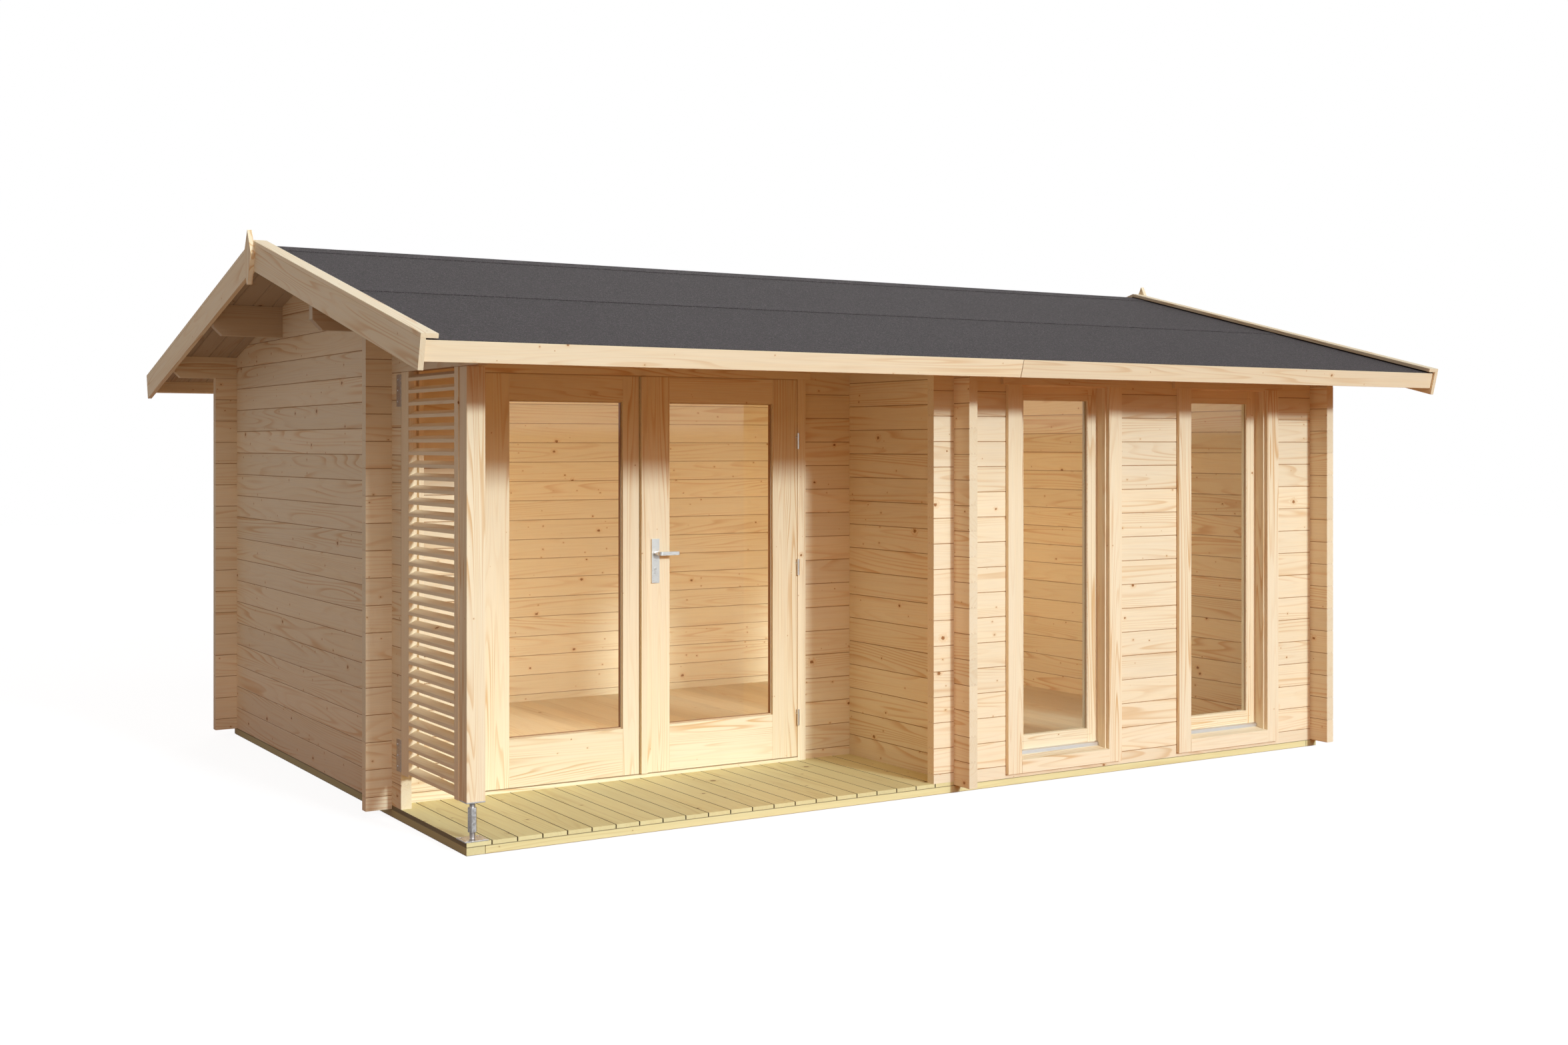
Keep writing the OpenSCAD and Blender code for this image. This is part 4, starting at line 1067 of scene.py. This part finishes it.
def screw(bm, base, axis):
    """A round head with a round socket."""
    sunk = SCREW_H * SOCKET_DEEP
    profile = [
        (SCREW_R, -SCREW_SINK), (SCREW_R, SCREW_H * 0.3), (SCREW_R * 0.86, SCREW_H * 0.75),
        (SCREW_R * 0.6, SCREW_H), (SCREW_R * 0.42, SCREW_H), (SCREW_R * 0.38, sunk), (SCREW_R * 0.05, sunk),
    ]
    turned(bm, base, axis, profile, SCREW_SIDES)


def thread(bm, centre, radius, z0, z1):
    """A ridge that winds up a rod."""
    turns = int((z1 - z0) / THREAD_PITCH) - 1
    rings = []
    for i in range(turns * THREAD_STEPS + 1):
        angle = 2 * math.pi * i / THREAD_STEPS
        z = z0 + 0.5 * THREAD_PITCH + THREAD_PITCH * i / THREAD_STEPS
        out = Vector((math.cos(angle), math.sin(angle), 0.0))
        base = Vector((centre.x, centre.y, z))
        inner = out * (radius - THREAD_SINK)
        outer = out * (radius + THREAD_DEPTH)
        lift = Vector((0.0, 0.0, THREAD_HALF * THREAD_PITCH))
        rings.append([base + inner - lift, base + outer, base + inner + lift])
    loft(bm, rings)


ROD_R = 11 * MM
SLEEVE_Z = (49 * MM, 148 * MM)
ROD_Z = (22 * MM, 170 * MM)
foot_low, foot_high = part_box("post_foot")


def foot_threads():
    bm = bmesh.new()
    centre = (foot_low + foot_high) / 2
    thread(bm, centre, ROD_R, log_base + ROD_Z[0], log_base + SLEEVE_Z[0])
    thread(bm, centre, ROD_R, log_base + SLEEVE_Z[1], log_base + ROD_Z[1])
    return piece("foot_thread", bm, galvanised, "house")


foot_threads()

STRAP_H = 140 * MM
STRAP_SCREWS_Z = (22 * MM, 70 * MM, 118 * MM)
STRAP_SCREW_INSET = 16 * MM
strap_low, strap_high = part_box("screen_straps")


def strap_screws():
    bm = bmesh.new()
    outwards = Vector((-1, 0, 0))
    for z0 in (strap_low.z, strap_high.z - STRAP_H):
        for dz in STRAP_SCREWS_Z:
            place = Vector((strap_low.x, strap_high.y - STRAP_SCREW_INSET, z0 + dz))
            screw(bm, place, outwards)
    return piece("strap_screws", bm, galvanised, "house")


strap_screws()

LOCK_Z = 1011 * MM
KEY_SLOT = (2.2 * MM, 9 * MM)
KEY_PROUD = 0.2 * MM
KEY_DEEP = 0.4 * MM
plate_low, plate_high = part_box("handle_plates")


def key_slot():
    """The slot of the lock cylinder, a sheet in painted shade where the keyway is."""
    bm = bmesh.new()
    x = (plate_low.x + plate_high.x) / 2
    z = log_base + LOCK_Z
    w, h = KEY_SLOT[0] / 2, KEY_SLOT[1] / 2
    outline = [(-w, -h), (w, -h), (w, -0.2 * h), (0.5 * w, 0.1 * h), (w, 0.4 * h), (w, h), (-w, h)]
    loft(bm, [
        [Vector((x + dx, y, z + dz)) for dx, dz in outline]
        for y in (plate_low.y - KEY_PROUD, plate_low.y + KEY_DEEP)
    ])
    return piece("key_slot", bm, key_slot_shade, "right_door")


key_slot()


# Studio: a low sun from the front with a wide glow, a fill from behind, warm lamps where wood throws light
# back, an even sky that is warm low down in front, and a pale floor

SUN_STRENGTH = 2.14
SUN_COLOUR = (0.77, 0.925, 1.0)
SUN_WIDTH = math.radians(6.5)
GLOW_STRENGTH = 0.82
GLOW_COLOUR = (0.93, 0.96, 1.0)
GLOW_WIDTH = math.radians(50)
TO_GLOW = Vector((0.05, -0.85, 0.50))
TO_SUN = Vector((0.17, -0.98, 0.33))
BACK_STRENGTH = 1.0
BACK_WIDTH = math.radians(30)
BACK_COLOUR = (1.0, 1.0, 1.0)
TO_BACK = Vector((0.45, 0.80, 0.18))
SKY = colour(1.0, 0.88, 0.83)
FRONT_SKY = colour(1.0, 0.46, 0.16)
FRONT_WAY = (-0.8, -0.25)
LOW_SKY = (0.12, 0.45)
SKY_STRENGTH = 0.31
MIRROR_EDGE = (0.004, 0.012)
MIRROR_DIM = 0.3
FLOOR_SIZE = 60.0
FLOOR_DROP = 1 * MM
FLOOR_PALE = 0.85
FLOOR_GLOW = 1.22
FLOOR_GLOW_SHARE = 0.74
SIDE_GROUND = colour(0.45, 0.365, 0.315)
FRONT_GROUND = colour(0.53, 0.195, 0.05)
GROUND_TURN = (0.75, -0.25)
ROOM_WARM = (1.0, 0.76, 0.47)
ROOM_POWER = 20.0
BAY_POWER = 20.0
ROOM_LAMP_R = 0.45
ROOM_LAMP_SHARE = 0.40
PORCH_WARM = (1.0, 0.42, 0.14)
PORCH_POWER = 3.2
PORCH_LAMP_R = 0.3
PORCH_LAMP_SHIFT = (0.25, -0.2)
PORCH_LAMP_RISE = 0.75


def lamp(name, kind, energy, **settings):
    data = bpy.data.lights.new(name, kind)
    data.energy = energy
    for setting, value in settings.items():
        setattr(data, setting, value)
    obj = bpy.data.objects.new(name, data)
    bpy.context.scene.collection.objects.link(obj)
    return obj


def far_lamp(name, energy, tint, width, towards):
    light = lamp(name, "SUN", energy, color=tint, angle=width)
    light.rotation_mode = "QUATERNION"
    light.rotation_quaternion = towards.to_track_quat("Z", "Y")


far_lamp("sun", SUN_STRENGTH, SUN_COLOUR, SUN_WIDTH, TO_SUN)
far_lamp("sun_glow", GLOW_STRENGTH, GLOW_COLOUR, GLOW_WIDTH, TO_GLOW)
far_lamp("back_fill", BACK_STRENGTH, BACK_COLOUR, BACK_WIDTH, TO_BACK)


def soft_lamp(name, energy, warm, radius, place):
    """A soft warm lamp that isn't seen itself."""
    light = lamp(name, "POINT", energy, color=warm, shadow_soft_size=radius)
    light.location = place
    light.visible_camera = False
    light.visible_glossy = False
    light.visible_transmission = False


def bounce_lamps():
    """Warm light thrown back by the wood of the room, the bay behind the doors and the porch."""
    middle = (door_wall_high.y + floor_high.y) / 2
    height = (cad_low.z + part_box("eaves_logs")[0].z) / 2
    bay = (floor_low.x + return_low.x) / 2
    room = return_high.x + ROOM_LAMP_SHARE * (floor_high.x - return_high.x)
    soft_lamp("bay_light", BAY_POWER, ROOM_WARM, ROOM_LAMP_R, (bay, middle, height))
    soft_lamp("room_light", ROOM_POWER, ROOM_WARM, ROOM_LAMP_R, (room, middle, height))
    porch = (bay + PORCH_LAMP_SHIFT[0], floor_low.y + PORCH_LAMP_SHIFT[1], PORCH_LAMP_RISE * height)
    soft_lamp("porch_light", PORCH_POWER, PORCH_WARM, PORCH_LAMP_R, porch)


bounce_lamps()


def seen_directly(shade):
    """1 for rays of the camera, and for those that mirror or pass through something."""
    path = shade.node("ShaderNodeLightPath")
    seen = shade.math("MAXIMUM", path.outputs["Is Camera Ray"], path.outputs["Is Glossy Ray"])
    return shade.math("MAXIMUM", seen, path.outputs["Is Transmission Ray"])


class Sky(Shade):
    """The world's node tree, with the same ways to add nodes."""

    def __init__(self, name):
        self.world = bpy.data.worlds.new(name)
        self.world.use_nodes = True
        self.tree = self.world.node_tree


def sky():
    """White to the eye; as a light, even and a little warm, and warmer low down in front."""
    shade = Sky("studio")
    _, y, z = shade.split(shade.node("ShaderNodeTexCoord").outputs["Generated"])
    low = shade.math("MULTIPLY", shade.step(y, *FRONT_WAY, 1.0, 0.0), shade.step(z, *LOW_SKY, 1.0, 0.0))
    fill = shade.tree.nodes["Background"]
    shade.put(fill.inputs["Color"], shade.mix(low, SKY, FRONT_SKY))
    shade.put(fill.inputs["Strength"], SKY_STRENGTH)
    mirrored = shade.node("ShaderNodeLightPath").outputs["Is Glossy Ray"]
    bright = shade.math("MULTIPLY_ADD", mirrored, shade.step(z, *MIRROR_EDGE, MIRROR_DIM - 1.0, 0.0), 1.0)
    white = shade.node("ShaderNodeBackground", {"Color": colour(1.0, 1.0, 1.0), "Strength": bright})
    both = shade.node(
        "ShaderNodeMixShader", {0: seen_directly(shade), 1: fill.outputs[0], 2: white.outputs[0]}
    )
    shade.put(shade.tree.nodes["World Output"].inputs["Surface"], both.outputs[0])
    bpy.context.scene.world = shade.world


def floor_material():
    """Pale to the eye, with the shadow on it and darkness under the deck; less bright as a light."""
    shade = Shade("studio_floor")
    shade.tree.nodes.remove(shade.surface)
    dim = shade.step(shade.node("ShaderNodeLightPath").outputs["Is Glossy Ray"], 0.0, 1.0, 1.0, MIRROR_DIM)
    seen = shade.grey(shade.math("MULTIPLY", dim, FLOOR_PALE))
    pale = shade.node("ShaderNodeBsdfDiffuse", {"Color": seen})
    lit = shade.math("MULTIPLY", dim, FLOOR_GLOW)
    glow = shade.node("ShaderNodeEmission", {"Color": colour(1.0, 1.0, 1.0), "Strength": lit})
    x, y, _ = shade.place()
    in_front = shade.step(x, cad_low.x - GROUND_TURN[0], cad_low.x - GROUND_TURN[1])
    bounce = shade.mix(in_front, SIDE_GROUND, FRONT_GROUND)
    ground = shade.node("ShaderNodeBsdfDiffuse", {"Color": bounce})
    off_x = shade.math("ABSOLUTE", shade.math("SUBTRACT", x, (bearer_low.x + bearer_high.x) / 2))
    off_y = shade.math("ABSOLUTE", shade.math("SUBTRACT", y, (bearer_low.y + bearer_high.y) / 2))
    beside = shade.math("GREATER_THAN", off_x, (bearer_high.x - bearer_low.x) / 2)
    before = shade.math("GREATER_THAN", off_y, (bearer_high.y - bearer_low.y) / 2)
    share = shade.math("MULTIPLY", shade.math("MAXIMUM", beside, before), FLOOR_GLOW_SHARE)
    shown = shade.node("ShaderNodeMixShader", {0: share, 1: pale.outputs[0], 2: glow.outputs[0]})
    both = shade.node(
        "ShaderNodeMixShader", {0: seen_directly(shade), 1: ground.outputs[0], 2: shown.outputs[0]}
    )
    shade.put(shade.tree.nodes["Material Output"].inputs["Surface"], both.outputs[0])
    return shade.material


def studio_floor():
    bm = bmesh.new()
    half = FLOOR_SIZE / 2
    z = cad_low.z - FLOOR_DROP
    corners = ((-half, -half), (half, -half), (half, half), (-half, half))
    bm.faces.new([bm.verts.new((x, y, z)) for x, y in corners])
    mesh = bpy.data.meshes.new("studio_floor")
    bm.to_mesh(mesh)
    bm.free()
    mesh.materials.append(floor_material())
    obj = bpy.data.objects.new("studio_floor", mesh)
    bpy.context.scene.collection.objects.link(obj)


sky()
studio_floor()
